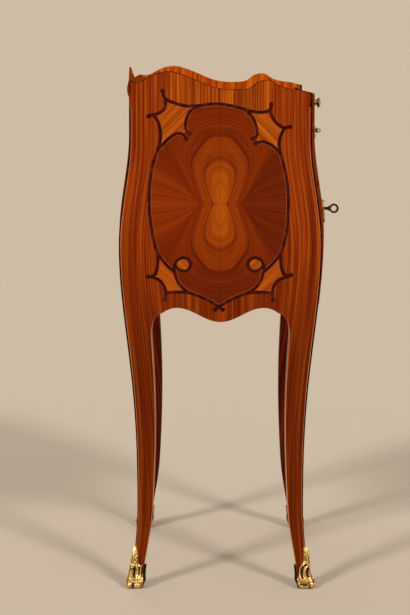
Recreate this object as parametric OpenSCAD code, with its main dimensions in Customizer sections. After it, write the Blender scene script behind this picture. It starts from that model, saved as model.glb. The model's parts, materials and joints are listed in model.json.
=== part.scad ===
// Small bombe side table on cabriole legs, with a tray-like gallery, a writing slide, two drawers
// with locks and keys, bronze shoes and inlaid side faces. Millimetres, Z up, floor at Z = 0.
// X runs across the width, the front faces -Y.

/* [Case] */
// Width of the case over its side faces at the waist
case_w = 384; // [350:1:430]
// Depth of the case over its corners at the waist
case_d = 250; // [240:1:290]
// Height of the table top above the floor
top_z = 685; // [668:1:740]
// Thickness of the top board
top_t = 12; // [9:0.5:15]
// Height of the case bottom's upper face above the floor
floor_z = 410; // [408:1:420]
// Thickness of the bottom board
bottom_t = 8; // [5:0.5:9]
// Thickness of the side panels at the waist
side_t = 14; // [13:0.5:18]
// Thickness of the back panel at the waist
back_t = 14; // [12:0.5:18]
// Thickness of the front apron at the waist
apron_t = 9; // [9:0.5:14]
// Height at the middle of the aprons' lower edges
apron_mid_z = 378; // [366:1:388]
// Height of the two raised arches of the aprons' lower edges
apron_arch_z = 398; // [394:0.5:399]
// Distance of those arches from the posts
apron_arch_in = 21; // [14:1:28]

/* [Swelling of the case] */
// How far the front swells out in the middle of its width
front_bow = 11; // [0:0.5:14]
// How far the back swells out in the middle of its width
back_bow = 7; // [0:0.5:12]
// How far the knee stands out past the waist
knee_out = 14.4; // [4:0.2:18]
// How far the ankle draws in from the waist's line
ankle_in = 9; // [6:0.2:18]
// How far the toe still lies inside the waist's line
toe_in = 5; // [0:0.5:6]
// Height of the ankle
ankle_z = 102; // [90:1:150]
// Height of the knee
knee_z = 482; // [440:1:500]
// Height of the waist
waist_z = 632; // [605:1:648]

/* [Legs] */
// Width of the corner posts at the waist
post = 44; // [42:0.5:52]
// Thickness of the foot at the floor
foot_t = 14.5; // [12:0.5:18]
// Thickness at the ankle
ankle_t = 21.5; // [19:0.5:25]
// Thickness where the leg starts to flare into the post
knee_t = 35; // [30:0.5:38]
// Height where the leg starts to flare
flare_z = 352; // [338:1:366]
// Height where the flare reaches the post's full width
arch_z = 390; // [380:1:392]
// Width of the flat on the outer corner
corner_flat = 4.2; // [2:0.2:6]
// Rounding of the other edges
edge_ease = 1.2; // [0.6:0.1:2]

/* [Gallery] */
// Height of the side galleries' crests above the top
gallery_h = 36.5; // [28:0.5:44]
// Height of the back gallery's crest above the top
crest_h = 38.5; // [32:0.5:48]
// Height of the back gallery beside its crest
shoulder_h = 21; // [16:0.5:26]
// Half width of the crest
crest_half = 60; // [40:1:80]
// Thickness at the foot of the gallery
gallery_t = 10; // [8:0.5:12]
// Thickness left at its upper edge
gallery_edge = 2.5; // [2:0.1:4]

/* [Writing slide and drawers] */
// Thickness of the writing slide
slide_t = 13; // [10:0.5:15]
// Thickness of the slide's front lip
lip_t = 12; // [10:0.5:14]
// Space behind the closed writing slide
slide_room = 15; // [5:1:40]
// Thickness of the rails between the drawers
rail_t = 8.5; // [8:0.5:12]
// Depth of those rails from the waist's line
rail_d = 60; // [50:1:80]
// Height of the upper drawer's opening
upper_h = 105; // [90:1:112]
// Thickness of the drawer fronts at the waist's line
front_t = 17; // [15:0.5:20]
// Thickness of the drawer sides
drawer_side_t = 8; // [6:0.5:10]
// Thickness of the drawer backs
drawer_back_t = 8; // [6:0.5:10]
// Thickness of the drawer bottoms
drawer_bottom_t = 5; // [4:0.5:6]
// Height of the drawer bottoms above the sides' lower edges
drawer_lift = 6; // [5:0.5:8]
// Space behind the closed drawers
drawer_room = 11; // [5:1:40]
// Width of the runners and bearers
runner_w = 50; // [40:1:60]
// Depth of the lower edge's clearance over the stops
stop_h = 4; // [3:0.5:4.5]

/* [Locks and bronzes] */
// Distance of the keyholes below the top of the drawer openings
keyhole_drop = 19; // [18:0.5:24]
// Radius of the keys' shanks
shank_r = 2.3; // [1.8:0.1:2.8]
// How far the lower key stands out of the front
lower_key_out = 24; // [20:0.5:30]
// How far the upper key stands out of the front
upper_key_out = 9.5; // [9:0.5:14]
// How far a bolt shoots out when its key is turned
bolt_throw = 6; // [4:0.5:6.5]
// Diameter of the slide's knob
knob_d = 15; // [12:0.5:18]
// How far the knob stands out of the lip
knob_out = 9; // [6:0.5:12]
// Thickness of the lower keyhole plate
plate_t = 2.4; // [1.5:0.1:3]
// Thickness of the upper keyhole's rim
rim_t = 1.2; // [0.8:0.1:1.5]
// Height of the shoes at the outer corner
shoe_tip_z = 59; // [48:1:70]
// Height of the shoes at the inner corner
shoe_low_z = 33; // [24:1:40]
// Thickness of the shoes' soles
sole_t = 3; // [2:0.5:5]
// How far the shoes' toes stand out past the foot
toe_out = 14; // [8:0.5:16]

/* [Inlay] */
// Thickness of the side veneers
veneer_t = 1; // [0.6:0.1:1.5]
// Width of the dark stringing
string_w = 4.5; // [3:0.1:6]
// Margin between the inlay and the corners
inlay_margin = 27.5; // [24:0.5:36]

/* [Clearances] */
// Running clearance of slides and drawers
run_gap = 0.3; // [0.2:0.05:0.5]
// Gap round the drawer fronts
front_gap = 0.5; // [0.3:0.1:1]
// Gap of the glued joints
glue_gap = 0.1; // [0.05:0.05:0.2]
// Running clearance round the key shanks
key_gap = 0.3; // [0.2:0.05:0.4]

/* [Hidden] */
$fn = 48;

tulipwood = [0.66, 0.30, 0.08];
kingwood = [0.30, 0.08, 0.05];
satinwood = [0.80, 0.42, 0.12];
walnut = [0.58, 0.27, 0.08];
oak = [0.62, 0.47, 0.28];
bronze = [0.80, 0.64, 0.32];
brass = [0.76, 0.62, 0.30];
steel = [0.35, 0.34, 0.33];
green_leather = [0.16, 0.27, 0.18];

// Levels of the case from the top down
case_top = top_z - top_t;
slide_z1 = case_top - run_gap;
slide_z0 = slide_z1 - slide_t;
slide_rail_z1 = slide_z0 - run_gap;
slide_rail_z0 = slide_rail_z1 - rail_t;
drawer_rail_z1 = slide_rail_z0 - upper_h;
drawer_rail_z0 = drawer_rail_z1 - rail_t;
upper = [drawer_rail_z1, slide_rail_z0];
lower = [floor_z, drawer_rail_z0];

// Planes inside the case
post_x = case_w / 2 - post;
post_y = case_d / 2 - post;
side_in = case_w / 2 - side_t;
back_in = case_d / 2 - back_t;
apron_in = case_d / 2 - apron_t;
front_in = case_d / 2 - front_t;
lip_in = case_d / 2 - lip_t;
rail_in = case_d / 2 - rail_d;
gallery_in = case_w / 2 - gallery_t;

function mix(a, b, t) = a + (b - a) * t;
function stops(a, b, n) = [for (i = [0 : n]) mix(a, b, i / n)];
function reversed(list) = [for (i = [len(list) - 1 : -1 : 0]) list[i]];
function ease(t) = (1 - cos(180 * t)) / 2;
function bell(t) = (1 + cos(180 * min(1, abs(t)))) / 2;

// The double curve of the corners, as an offset from the waist's line
lower_fullness = 1.45;
upper_fullness = 1.03;
function corner_sweep(z) =
  z < ankle_z ? -ankle_in + (ankle_in - toe_in) * ease(1 - z / ankle_z) :
  z < knee_z ? -ankle_in + (ankle_in + knee_out) * ease(pow((z - ankle_z) / (knee_z - ankle_z), lower_fullness)) :
  z < waist_z ? knee_out * (1 - ease(pow((z - knee_z) / (waist_z - knee_z), upper_fullness))) : 0;

// The case follows the same curve in flats between these levels, so that flush pieces share their faces
level_spare = 4;
level_gap = 1;
case_low = apron_mid_z - level_spare;
levels = concat(stops(case_low, waist_z, 18), [top_z + crest_h + level_spare]);
level_table = [for (z = levels) [z, corner_sweep(z)]];
function sweep(z) = z < case_low ? corner_sweep(z) : lookup(z, level_table);
function half_w(z) = case_w / 2 + sweep(z);
function half_d(z) = case_d / 2 + sweep(z);
function between(z0, z1) = concat([z0], [for (z = levels) if (z > z0 + level_gap && z < z1 - level_gap) z], [z1]);
function front_y(x, z) = -half_d(z) - front_bow * bell(x / half_w(z));
function back_y(x, z) = half_d(z) + back_bow * bell(x / half_w(z));

// Lower edge of an apron between posts that stand half apart from the middle
function apron_low(u, half) =
  let (arch = half - apron_arch_in, d = abs(u))
  d > arch ? apron_arch_z - (apron_arch_z - arch_z) * pow((d - arch) / apron_arch_in, 2)
           : mix(apron_arch_z, apron_mid_z, ease(1 - d / arch));

// The keys stand out further than the back, so the case is set back to centre the whole on the origin
upper_key_z = upper[1] - keyhole_drop;
lower_key_z = lower[1] - keyhole_drop;
front_reach = lower_key_out - front_y(0, lower_key_z);
back_reach = case_d / 2 + knee_out + back_bow;
set_back = (front_reach - back_reach) / 2;

module centred() translate([0, set_back, 0]) children();

// Turns a drawing in Y and Z into a slab along X
module along_x(x0, x1) translate([x0, 0, 0]) rotate([90, 0, 90]) linear_extrude(x1 - x0) children();

// Turns a drawing in X and Z into a slab along Y
module along_y(y0, y1) translate([0, y1, 0]) rotate([90, 0, 0]) linear_extrude(y1 - y0) children();

// A box given by its lowest and highest corners
module block(low, high) translate(low) cube(high - low);

// A smooth line through points, with n steps from each to the next
function curve(pts, n, closed = false) =
  let (count = len(pts), spans = closed ? count : count - 1)
  concat(
    [for (i = [0 : spans - 1]) for (j = [0 : n - 1])
      let (
        t = j / n,
        p0 = closed ? pts[(i + count - 1) % count] : pts[max(i - 1, 0)],
        p1 = pts[i],
        p2 = pts[(i + 1) % count],
        p3 = closed ? pts[(i + 2) % count] : pts[min(i + 2, count - 1)]
      )
      (2 * p1 + (p2 - p0) * t + (2 * p0 - 5 * p1 + 4 * p2 - p3) * t * t
        + (3 * p1 - p0 - 3 * p2 + p3) * t * t * t) / 2],
    closed ? [] : [pts[count - 1]]
  );

// The outline of a band of width w along a line
function band(line, w) =
  let (
    last = len(line) - 1,
    side = [for (i = [0 : last])
      let (d = line[min(i + 1, last)] - line[max(i - 1, 0)])
      [-d[1], d[0]] * w / 2 / norm(d)]
  )
  concat([for (i = [0 : last]) line[i] + side[i]], [for (i = [last : -1 : 0]) line[i] - side[i]]);

// A board between two surfaces, face and back, which give Y for each X and Z
module shaped_board(half, cols, rows, low, high, face, back) {
  function at(s, i, j) = s * (cols + 1) * (rows + 1) + i * (rows + 1) + j;
  points = [for (s = [0, 1]) for (i = [0 : cols]) for (j = [0 : rows])
    let (x = mix(-half, half, i / cols), z = mix(low(x), high(x), j / rows))
    [x, s == 0 ? face(x, z) : back(x, z), z]];
  faces = concat(
    [for (i = [0 : cols - 1]) for (j = [0 : rows - 1]) each [
      [at(0, i, j), at(0, i, j + 1), at(0, i + 1, j + 1)],
      [at(0, i, j), at(0, i + 1, j + 1), at(0, i + 1, j)],
      [at(1, i, j), at(1, i + 1, j + 1), at(1, i, j + 1)],
      [at(1, i, j), at(1, i + 1, j), at(1, i + 1, j + 1)]]],
    [for (i = [0 : cols - 1]) each [
      [at(0, i, 0), at(0, i + 1, 0), at(1, i + 1, 0)],
      [at(0, i, 0), at(1, i + 1, 0), at(1, i, 0)],
      [at(0, i + 1, rows), at(0, i, rows), at(1, i, rows)],
      [at(0, i + 1, rows), at(1, i, rows), at(1, i + 1, rows)]]],
    [for (j = [0 : rows - 1]) each [
      [at(0, 0, j + 1), at(0, 0, j), at(1, 0, j)],
      [at(0, 0, j + 1), at(1, 0, j), at(1, 0, j + 1)],
      [at(0, cols, j), at(0, cols, j + 1), at(1, cols, j + 1)],
      [at(0, cols, j), at(1, cols, j + 1), at(1, cols, j)]]]
  );
  polyhedron(points, faces);
}

// Legs. They are drawn for the +X +Y corner and mirrored to the others.
module corner(front, left)
  mirror([left ? 1 : 0, 0, 0]) mirror([0, front ? 1 : 0, 0]) children();

function leg_t(z) =
  z < ankle_z ? mix(foot_t, ankle_t, z / ankle_z)
              : mix(ankle_t, knee_t, (z - ankle_z) / (flare_z - ankle_z));

// Height, thickness and edge rounding of each ring of a leg
leg_rings = concat(
  [for (z = stops(sole_t, ankle_z, 5)) [z, leg_t(z), edge_ease]],
  [for (i = [1 : 8]) let (z = mix(ankle_z, flare_z, i / 8)) [z, leg_t(z), edge_ease]],
  [for (i = [1 : 4])
    let (a = 90 * i / 5, z = mix(flare_z, arch_z, sin(a)))
    [z, mix(knee_t, post + sweep(arch_z), 1 - cos(a)), mix(edge_ease, glue_gap * 3, i / 5)]],
  [for (z = between(arch_z, case_top)) [z, post + sweep(z), glue_gap * 3]]
);

// One ring: inner corner, two inner edges and the flattened outer corner; grow widens it all round
function leg_ring(ring, bow, grow) =
  let (
    z = ring[0], t = ring[1] + 2 * grow, e = ring[2],
    xo = half_w(z) + grow, yo = half_d(z) + grow,
    c = corner_flat * min(1, ring[1] / knee_t),
    lift = bow * ease(max(0, min(1, (z - ankle_z) / (flare_z - ankle_z)))) * bell((xo - t) / half_w(z)),
    flat = [[2 * e, 0], [t - e, 0], [t, e], [t, t - c], [t - c / 4, t - c / 4], [t - c, t],
            [e, t + lift], [0, t - e + lift], [0, 2 * e]]
  )
  [for (p = flat) [xo - t + p[0], yo - t + p[1], z]];

module leg_loft(bow, grow, rings) {
  n = 9;
  last = len(rings) - 1;
  points = [for (ring = rings) each leg_ring(ring, bow, grow)];
  faces = concat(
    [[for (i = [0 : n - 1]) i]],
    [[for (i = [n - 1 : -1 : 0]) last * n + i]],
    [for (k = [0 : last - 1]) for (i = [0 : n - 1])
      let (a = k * n + i, b = k * n + (i + 1) % n)
      each [[a, a + n, b + n], [a, b + n, b]]]
  );
  polyhedron(points, faces);
}

// Tongues and tenons: how long they are, how thick, and where they lie
tongue_l = 6;
tongue_t = 6;
tenon_l = 10;
tenon_w = 20;
tenon_shoulder = 1.5;
side_tongue_x = side_in + (side_t - veneer_t - tongue_t) / 2;
back_tongue_y = back_in + (back_t - tongue_t) / 2;
apron_tongue_y = apron_in + 1.5;
tenon_y = rail_in + 18;
panel_tongue_z = [apron_arch_z + 6, case_top - 12];
apron_tongue_z = [arch_z + 5, floor_z - 3];

// A post's mortise for a tongue or tenon whose corners are low and high
module mortise(low, high) block(low - [1, 1, 1] * glue_gap, high + [1, 1, 1] * glue_gap);

module side_tongue_slot()
  mortise([side_tongue_x, post_y - 1, panel_tongue_z[0]],
          [side_tongue_x + tongue_t, post_y + tongue_l, panel_tongue_z[1]]);

// The bed that the side veneers are glued into
module veneer_bed() {
  edge = [for (z = between(arch_z, case_top)) [half_d(z) - corner_flat, z]];
  intersection() {
    along_y(post_y - 2, case_d) side_band(arch_z, case_top, veneer_t, -5);
    along_x(0, case_w) polygon(concat([[post_y - 2, arch_z]], edge, [[post_y - 2, case_top]]));
  }
}

module back_leg()
  difference() {
    leg_loft(back_bow, 0, leg_rings);
    veneer_bed();
    side_tongue_slot();
    mortise([post_x - 1, back_tongue_y, panel_tongue_z[0]],
            [post_x + tongue_l, back_tongue_y + tongue_t, panel_tongue_z[1]]);
  }

module front_leg()
  difference() {
    leg_loft(front_bow, 0, leg_rings);
    veneer_bed();
    side_tongue_slot();
    for (z = [slide_rail_z0, drawer_rail_z0])
      mortise([post_x - 1, tenon_y, z + tenon_shoulder],
              [post_x + tenon_l, tenon_y + tenon_w, z + rail_t - tenon_shoulder]);
    mortise([post_x - 1, apron_tongue_y, apron_tongue_z[0]],
            [post_x + tongue_l, apron_tongue_y + tongue_t, apron_tongue_z[1]]);
  }

module leg_front_left() color(tulipwood) centred() corner(true, true) front_leg();
module leg_front_right() color(tulipwood) centred() corner(true, false) front_leg();
module leg_back_left() color(tulipwood) centred() corner(false, true) back_leg();
module leg_back_right() color(tulipwood) centred() corner(false, false) back_leg();

// Shoes. Each ring is a rounded square that bulges at the toe, draws in at the throat and ends in a
// leaf at the outer corner. Rings: height and bulge, as shares of the shoe's height and of toe_out.
shoe_sides = 28;
shoe_wall = 1.2;
leaf_power = 8;
shoe_rings = [[0, 0.68], [0.05, 0.94], [0.13, 1], [0.22, 0.8], [0.34, 0.5], [0.48, 0.4],
              [0.66, 0.42], [0.84, 0.36], [1, 0.16]];
function shoe_point(ring, i) =
  let (
    a = 360 * i / shoe_sides,
    outward = bell((a > 180 ? a - 360 : a) / 180),
    z = ring[0] * mix(shoe_low_z, shoe_tip_z, pow(outward, leaf_power)),
    t = leg_t(z),
    lobe = 1 + 0.06 * cos(7 * a) * outward,
    r = t / 2 + shoe_wall + ring[1] * (toe_out - shoe_wall) * pow(outward, 1.3) * lobe,
    d = a + 45,
    square = pow(pow(abs(cos(d)), 6) + pow(abs(sin(d)), 6), -1 / 6)
  )
  [half_w(z) - t / 2 + r * square * cos(d), half_d(z) - t / 2 + r * square * sin(d), z];

module shoe() {
  n = shoe_sides;
  last = len(shoe_rings) - 1;
  throat_z = (shoe_low_z + shoe_tip_z) / 2;
  throat = [half_w(throat_z) - leg_t(throat_z) / 2, half_d(throat_z) - leg_t(throat_z) / 2];
  points = concat(
    [for (ring = shoe_rings) for (i = [0 : n - 1]) shoe_point(ring, i)],
    [for (i = [0 : n - 1]) let (p = shoe_point([1, 0], i)) mix(p, [throat[0], throat[1], p[2]], 0.15)],
    [[throat[0], throat[1], throat_z]]
  );
  difference() {
    polyhedron(points, concat(
      [[for (i = [0 : n - 1]) i]],
      [for (k = [0 : last]) for (i = [0 : n - 1])
        let (a = k * n + i, b = k * n + (i + 1) % n)
        each [[a, a + n, b + n], [a, b + n, b]]],
      [for (i = [0 : n - 1]) [(last + 1) * n + i, (last + 2) * n, (last + 1) * n + (i + 1) % n]]
    ));
    leg_loft(0, glue_gap, [for (z = concat([sole_t - glue_gap], stops(sole_t + 10, 90, 5)))
      [z, leg_t(z), edge_ease]]);
  }
}

module sabot_front_left() color(bronze) centred() corner(true, true) shoe();
module sabot_front_right() color(bronze) centred() corner(true, false) shoe();
module sabot_back_left() color(bronze) centred() corner(false, true) shoe();
module sabot_back_right() color(bronze) centred() corner(false, false) shoe();

// Side of the case in X and Z, between two depths under its outer face
module side_band(z0, z1, near, far) {
  heights = between(z0, z1);
  polygon(concat([for (z = heights) [half_w(z) - near, z]],
                 [for (z = reversed(heights)) [half_w(z) - far, z]]));
}

module side_panel() {
  half = post_y - glue_gap;
  low = [for (y = stops(-half, half, 28)) [y, apron_low(y, post_y)]];
  heights = between(case_low, case_top);
  intersection() {
    along_y(-half, half)
      polygon(concat([[side_in, case_low]], [for (z = heights) [half_w(z) - veneer_t, z]],
                     [[side_in, case_top]]));
    along_x(0, case_w) polygon(concat(low, [[half, case_top], [-half, case_top]]));
  }
  for (s = [0, 1])
    mirror([0, s, 0])
      block([side_tongue_x, half - 5, panel_tongue_z[0]],
            [side_tongue_x + tongue_t, post_y + tongue_l, panel_tongue_z[1]]);
}

module side_panel_left() color(tulipwood) centred() mirror([1, 0, 0]) side_panel();
module side_panel_right() color(tulipwood) centred() side_panel();

function plane(y) = function (x, z) y;
function level(z) = function (x) z;
outer_front = function (x, z) front_y(x, z);
outer_back = function (x, z) back_y(x, z);
apron_edge = function (x) apron_low(x, post_x);

module back_panel() color(tulipwood) centred() {
  half = post_x - glue_gap;
  shaped_board(half, 28, 12, apron_edge, level(case_top), plane(back_in), outer_back);
  for (s = [0, 1])
    mirror([s, 0, 0])
      block([half - 5, back_tongue_y, panel_tongue_z[0]],
            [post_x + tongue_l, back_tongue_y + tongue_t, panel_tongue_z[1]]);
}

module front_apron() color(tulipwood) centred() {
  half = post_x - glue_gap;
  shaped_board(half, 28, 3, apron_edge, level(floor_z), outer_front, plane(-apron_in));
  for (s = [0, 1])
    mirror([s, 0, 0])
      block([half - 5, -apron_tongue_y - tongue_t, apron_tongue_z[0]],
            [post_x + tongue_l, -apron_tongue_y, apron_tongue_z[1]]);
}

// Gallery. The inner face leans out from the foot's thickness to the thin upper edge.
function gallery_wall(z) =
  z < top_z ? gallery_t : mix(gallery_t, gallery_edge, min(1, (z - top_z) / crest_h));

// Upper edge of the side galleries, from the back to the front: across and up, in hundredths
gallery_points = [[-100, 62], [-88, 63], [-71, 91], [-56, 100], [-41, 87], [-25, 65], [-11, 45],
                  [4, 34], [19, 33], [31, 38], [41, 61], [49, 68], [55, 66], [64, 47], [74, 37],
                  [85, 32], [100, 19]];
gallery_edge_line = [for (p = curve(gallery_points, 3))
  [-p[0] * case_d / 200, top_z + p[1] * gallery_h / 100]];

module side_gallery()
  intersection() {
    along_y(-case_d / 2, case_d / 2)
      polygon([[case_w / 2 - veneer_t, case_top], [case_w / 2 - veneer_t, top_z + crest_h],
               [case_w / 2 - gallery_edge, top_z + crest_h], [gallery_in, top_z],
               [gallery_in, case_top]]);
    along_x(0, case_w)
      difference() {
        polygon(concat([[-case_d / 2, case_top], [case_d / 2, case_top]], gallery_edge_line));
        polygon([[case_d / 2 - gallery_t - glue_gap, case_top - 1],
                 [case_d / 2 - gallery_t - glue_gap, top_z],
                 [case_d / 2 - gallery_edge - glue_gap, top_z + crest_h],
                 [case_d, top_z + crest_h], [case_d, case_top - 1]]);
      }
  }

module gallery_left() color(tulipwood) centred() mirror([1, 0, 0]) side_gallery();
module gallery_right() color(tulipwood) centred() side_gallery();

// Upper edge of the back gallery: a peaked crest that falls hollow to long shoulders
function crest_z(x) =
  let (d = abs(x), fall = max(0, 1 - d / crest_half),
       rise = max(0, d - crest_half) / (case_w / 2 - crest_half))
  top_z + shoulder_h + (crest_h - shoulder_h) * fall * fall + 2 * ease(rise);

// The back gallery's outer face swells a little over the case
gallery_swell = 3;
swell_z = 7;
swell_reach = 16;
function gallery_back_y(x, z) = back_y(x, z)
  + gallery_swell * bell((z - top_z - swell_z) / swell_reach) * bell(x / half_w(z));

module gallery_back() color(tulipwood) centred()
  shaped_board(case_w / 2 - veneer_t, 32, 5, level(case_top),
    function (x) crest_z(x),
    function (x, z) back_y(x, z) - gallery_wall(z),
    function (x, z) gallery_back_y(x, z));

// Top board: it lies inside the gallery and is cut back in front for the slide's lip
module top_board() color(tulipwood) centred() {
  half = gallery_in - glue_gap;
  lip_half = post_x + front_gap / 2;
  back = [for (x = stops(half, -half, 24)) [x, back_y(x, case_top) - gallery_t - run_gap]];
  cheek = [for (x = stops(half, lip_half, 3)) [x, front_y(x, case_top)]];
  translate([0, 0, case_top])
    linear_extrude(top_t)
      polygon(concat(back, [for (p = cheek) [-p[0], p[1]]],
        [[-lip_half, -lip_in + run_gap], [lip_half, -lip_in + run_gap]], reversed(cheek)));
}

// Rails between the posts, with a mortise for the bolt of the drawer below
module cross_rail(z0)
  difference() {
    union() {
      shaped_board(post_x - glue_gap, 20, 1, level(z0), level(z0 + rail_t), outer_front,
                   plane(-rail_in));
      for (s = [0, 1])
        mirror([s, 0, 0])
          block([post_x - 5, -tenon_y - tenon_w, z0 + tenon_shoulder],
                [post_x + tenon_l, -tenon_y, z0 + rail_t - tenon_shoulder]);
    }
    block([-bolt_w / 2 - 1, -bolt_y - bolt_t - 0.6, z0 - 1],
          [bolt_w / 2 + 1, -bolt_y + 0.6, z0 - front_gap - bolt_inset + bolt_throw + 0.8]);
  }

module slide_rail() color(tulipwood) centred() cross_rail(slide_rail_z0);
module drawer_rail() color(tulipwood) centred() cross_rail(drawer_rail_z0);

// Strips behind a rail, let round the posts, on both sides
module strips(z0)
  for (s = [0, 1])
    mirror([s, 0, 0])
      translate([0, 0, z0])
        linear_extrude(rail_t)
          polygon([[side_in - runner_w, -rail_in + glue_gap], [post_x - glue_gap, -rail_in + glue_gap],
                   [post_x - glue_gap, -post_y + glue_gap], [side_in - glue_gap, -post_y + glue_gap],
                   [side_in - glue_gap, post_y - glue_gap], [post_x - glue_gap, post_y - glue_gap],
                   [post_x - glue_gap, back_in - glue_gap], [side_in - runner_w, back_in - glue_gap]]);

module slide_bearers() color(oak) centred() strips(slide_rail_z0);
module drawer_runners() color(oak) centred() strips(drawer_rail_z0);

module bottom_board() color(oak) centred()
  translate([0, 0, floor_z - bottom_t])
    linear_extrude(bottom_t)
      union() {
        translate([-post_x + glue_gap, -apron_in + glue_gap])
          square([2 * (post_x - glue_gap), apron_in + back_in - 2 * glue_gap]);
        square([2 * (side_in - glue_gap), 2 * (post_y - glue_gap)], center = true);
      }

// Guides beside the drawers, and stops behind their fronts
guide_t = 12;
guide_h = 18;
stop_w = 22;
stop_t = 10;
stop_x = 60;

module drawer_guides() color(oak) centred()
  for (z = [upper[0], lower[0]]) for (s = [0, 1])
    mirror([s, 0, 0])
      block([post_x, -post_y + 1, z], [post_x + guide_t, post_y - 1, z + guide_h]);

module drawer_stops() color(oak) centred()
  for (z = [upper[0], lower[0]]) for (s = [0, 1])
    mirror([s, 0, 0])
      block([stop_x, -front_in + run_gap, z], [stop_x + stop_w, -front_in + run_gap + stop_t, z + stop_h]);

// Inlay of the sides. Points are across, towards the front, and up, in hundredths of the half sizes.
inlay_half = case_d / 2 - inlay_margin;
inlay_mid = (apron_mid_z + top_z) / 2;
inlay_rise = (top_z - apron_mid_z) / 2;
function inlay(points) = [for (p = points) [-p[0] * inlay_half / 100, inlay_mid + p[1] * inlay_rise / 100]];

string_lines = [
  [[-81, 106], [-80, 102], [-76, 99], [-66, 96], [-48, 93], [-28, 93.5], [-6, 95], [17, 93], [36, 89.5],
   [53, 87.5], [66, 88.5], [71, 92]],
  [[-77, 99], [-78, 91], [-86, 87], [-93, 85.5], [-100, 84.5]],
  [[-94, 86], [-87, 78.5], [-84, 69.5], [-85, 61], [-91, 49], [-96, 38], [-99, 24], [-100, 6],
   [-98, -9], [-94, -24], [-89, -36], [-77, -47], [-64, -54.5]],
  [[-89, -36], [-88, -47], [-92, -57.5]],
  [[-101, -58.5], [-93, -59.5], [-85, -62], [-79, -67.5], [-77, -73.5], [-78, -78.5]],
  [[-77, -73.5], [-64, -72.5], [-46, -73], [-31, -76], [-14, -81], [3, -88.5]],
  [[-64, -47], [-64, -54.5], [-60, -63], [-50, -70.5], [-36, -75]],
  [[-33, 92], [-43, 88], [-48, 81], [-49, 73.5], [-44, 69]],
  [[-87, 55.5], [-82, 58], [-73, 64], [-62, 68.5], [-53, 68], [-49, 64.5]],
  [[71, 94], [70, 88], [73, 82.5], [79, 77.5], [88, 74], [96, 74.5]],
  [[90, 74], [84, 66.5], [82, 58.5], [84, 51], [89, 39], [94, 23], [95, 6], [94, -11], [90, -26],
   [84, -38], [73, -47], [61, -54.5]],
  [[84, -38], [85, -47], [89, -56.5]],
  [[98, -57.5], [89, -59.5], [81, -62], [75, -67.5], [73, -73.5], [74, -78.5]],
  [[73, -73.5], [60, -72.5], [42, -73], [27, -76], [10, -81], [-7, -88.5]],
  [[60, -47], [60, -54.5], [56, -63], [46, -70.5], [32, -75]],
  [[31, 91], [43, 84.5], [49.5, 76], [51, 67.5], [45, 64]],
  [[82, 52.5], [71, 58.5], [59, 61.5], [50, 60]]
];
loop_centres = [[-51, -47.5], [47.5, -47.5]];
loop_r = inlay_half * 0.118;
bud_r = string_w * 0.7;
bud_points = [[-81, 106.5], [-101, 84], [-102, -58.5], [-78, -79.5], [3.5, -88.5], [-43, 68.5], [-48, 64],
              [71, 94.5], [97, 74.5], [99, -57], [74, -79.5], [-7.5, -88.5], [44.5, 64], [49, 60]];

oval_points = [[-33, 92], [-28, 93.5], [-6, 95], [17, 93], [31, 91], [43, 84.5], [49.5, 76], [51, 67.5],
               [52, 61], [59, 61.5], [71, 58.5], [82, 52.5], [89, 39], [94, 23], [95, 6], [94, -11],
               [90, -26], [84, -38], [73, -47], [62, -53.5], [56, -63], [46, -70.5], [27, -76],
               [10, -81], [-2, -85.5], [-14, -81], [-31, -76], [-50, -70.5], [-60, -63], [-65, -53.5],
               [-77, -47], [-89, -36], [-94, -24], [-98, -9], [-100, 6], [-99, 24], [-96, 38],
               [-91, 49], [-83, 57.5], [-73, 64], [-62, 68.5], [-52, 68], [-49, 73.5], [-48, 81],
               [-43, 88]];
spandrel_points = [
  [[-76, 99], [-66, 96], [-48, 93], [-36, 93], [-43, 88], [-48, 81], [-49, 73.5], [-49, 67.5], [-53, 68],
   [-62, 68.5], [-73, 64], [-83, 57.5], [-85, 61], [-84, 69.5], [-87, 78.5], [-94, 86], [-86, 87],
   [-78, 91]],
  [[36, 89.5], [53, 87.5], [68, 88.5], [73, 82.5], [79, 77.5], [88, 74], [84, 66.5], [82, 58.5], [82, 52.5],
   [71, 58.5], [59, 61.5], [50, 60.5], [51, 67.5], [49.5, 76], [43, 84.5]],
  [[-88, -38], [-77, -47], [-65, -53.5], [-60, -63], [-50, -70.5], [-46, -73], [-64, -72.5], [-77, -73.5],
   [-79, -67.5], [-85, -62], [-92, -58.5], [-88, -47]],
  [[83, -40], [73, -47], [62, -53.5], [56, -63], [46, -70.5], [42, -73], [60, -72.5], [73, -73.5],
   [75, -67.5], [81, -62], [88, -58.5], [85, -47]]
];

module disc(r) polygon([for (a = [0 : 15 : 345]) r * [cos(a), sin(a)]]);

module loops(r) for (p = inlay(loop_centres)) translate(p) disc(r);

module string_drawing() {
  for (line = string_lines) polygon(band(curve(inlay(line), 3), string_w));
  for (p = inlay(bud_points)) translate(p) disc(bud_r);
  difference() {
    loops(loop_r);
    loops(loop_r - string_w);
  }
}

module oval_drawing() polygon(curve(inlay(oval_points), 2, true));
module spandrel_drawing() for (p = spandrel_points) polygon(curve(inlay(p), 2, true));

// Outline of the whole veneered side: apron, posts between the corner flats, and gallery
module sheet_drawing() {
  low = [for (y = stops(-post_y, post_y, 28)) [y, apron_low(y, post_y)]];
  rise = [for (z = between(arch_z, case_top)) [half_d(z) - corner_flat, z]];
  polygon(concat(low, rise, gallery_edge_line, [for (p = reversed(rise)) [-p[0], p[1]]]));
}

module side_veneer(deep)
  intersection() {
    along_y(-case_d, case_d) side_band(case_low, top_z + crest_h, 0, veneer_t - deep);
    along_x(0, case_w) children();
  }

module veneer_frame()
  side_veneer(0)
    difference() {
      sheet_drawing();
      string_drawing();
      oval_drawing();
      spandrel_drawing();
    }

module spandrels()
  side_veneer(0) {
    difference() {
      spandrel_drawing();
      oval_drawing();
      string_drawing();
    }
    loops(loop_r - string_w);
  }

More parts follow.
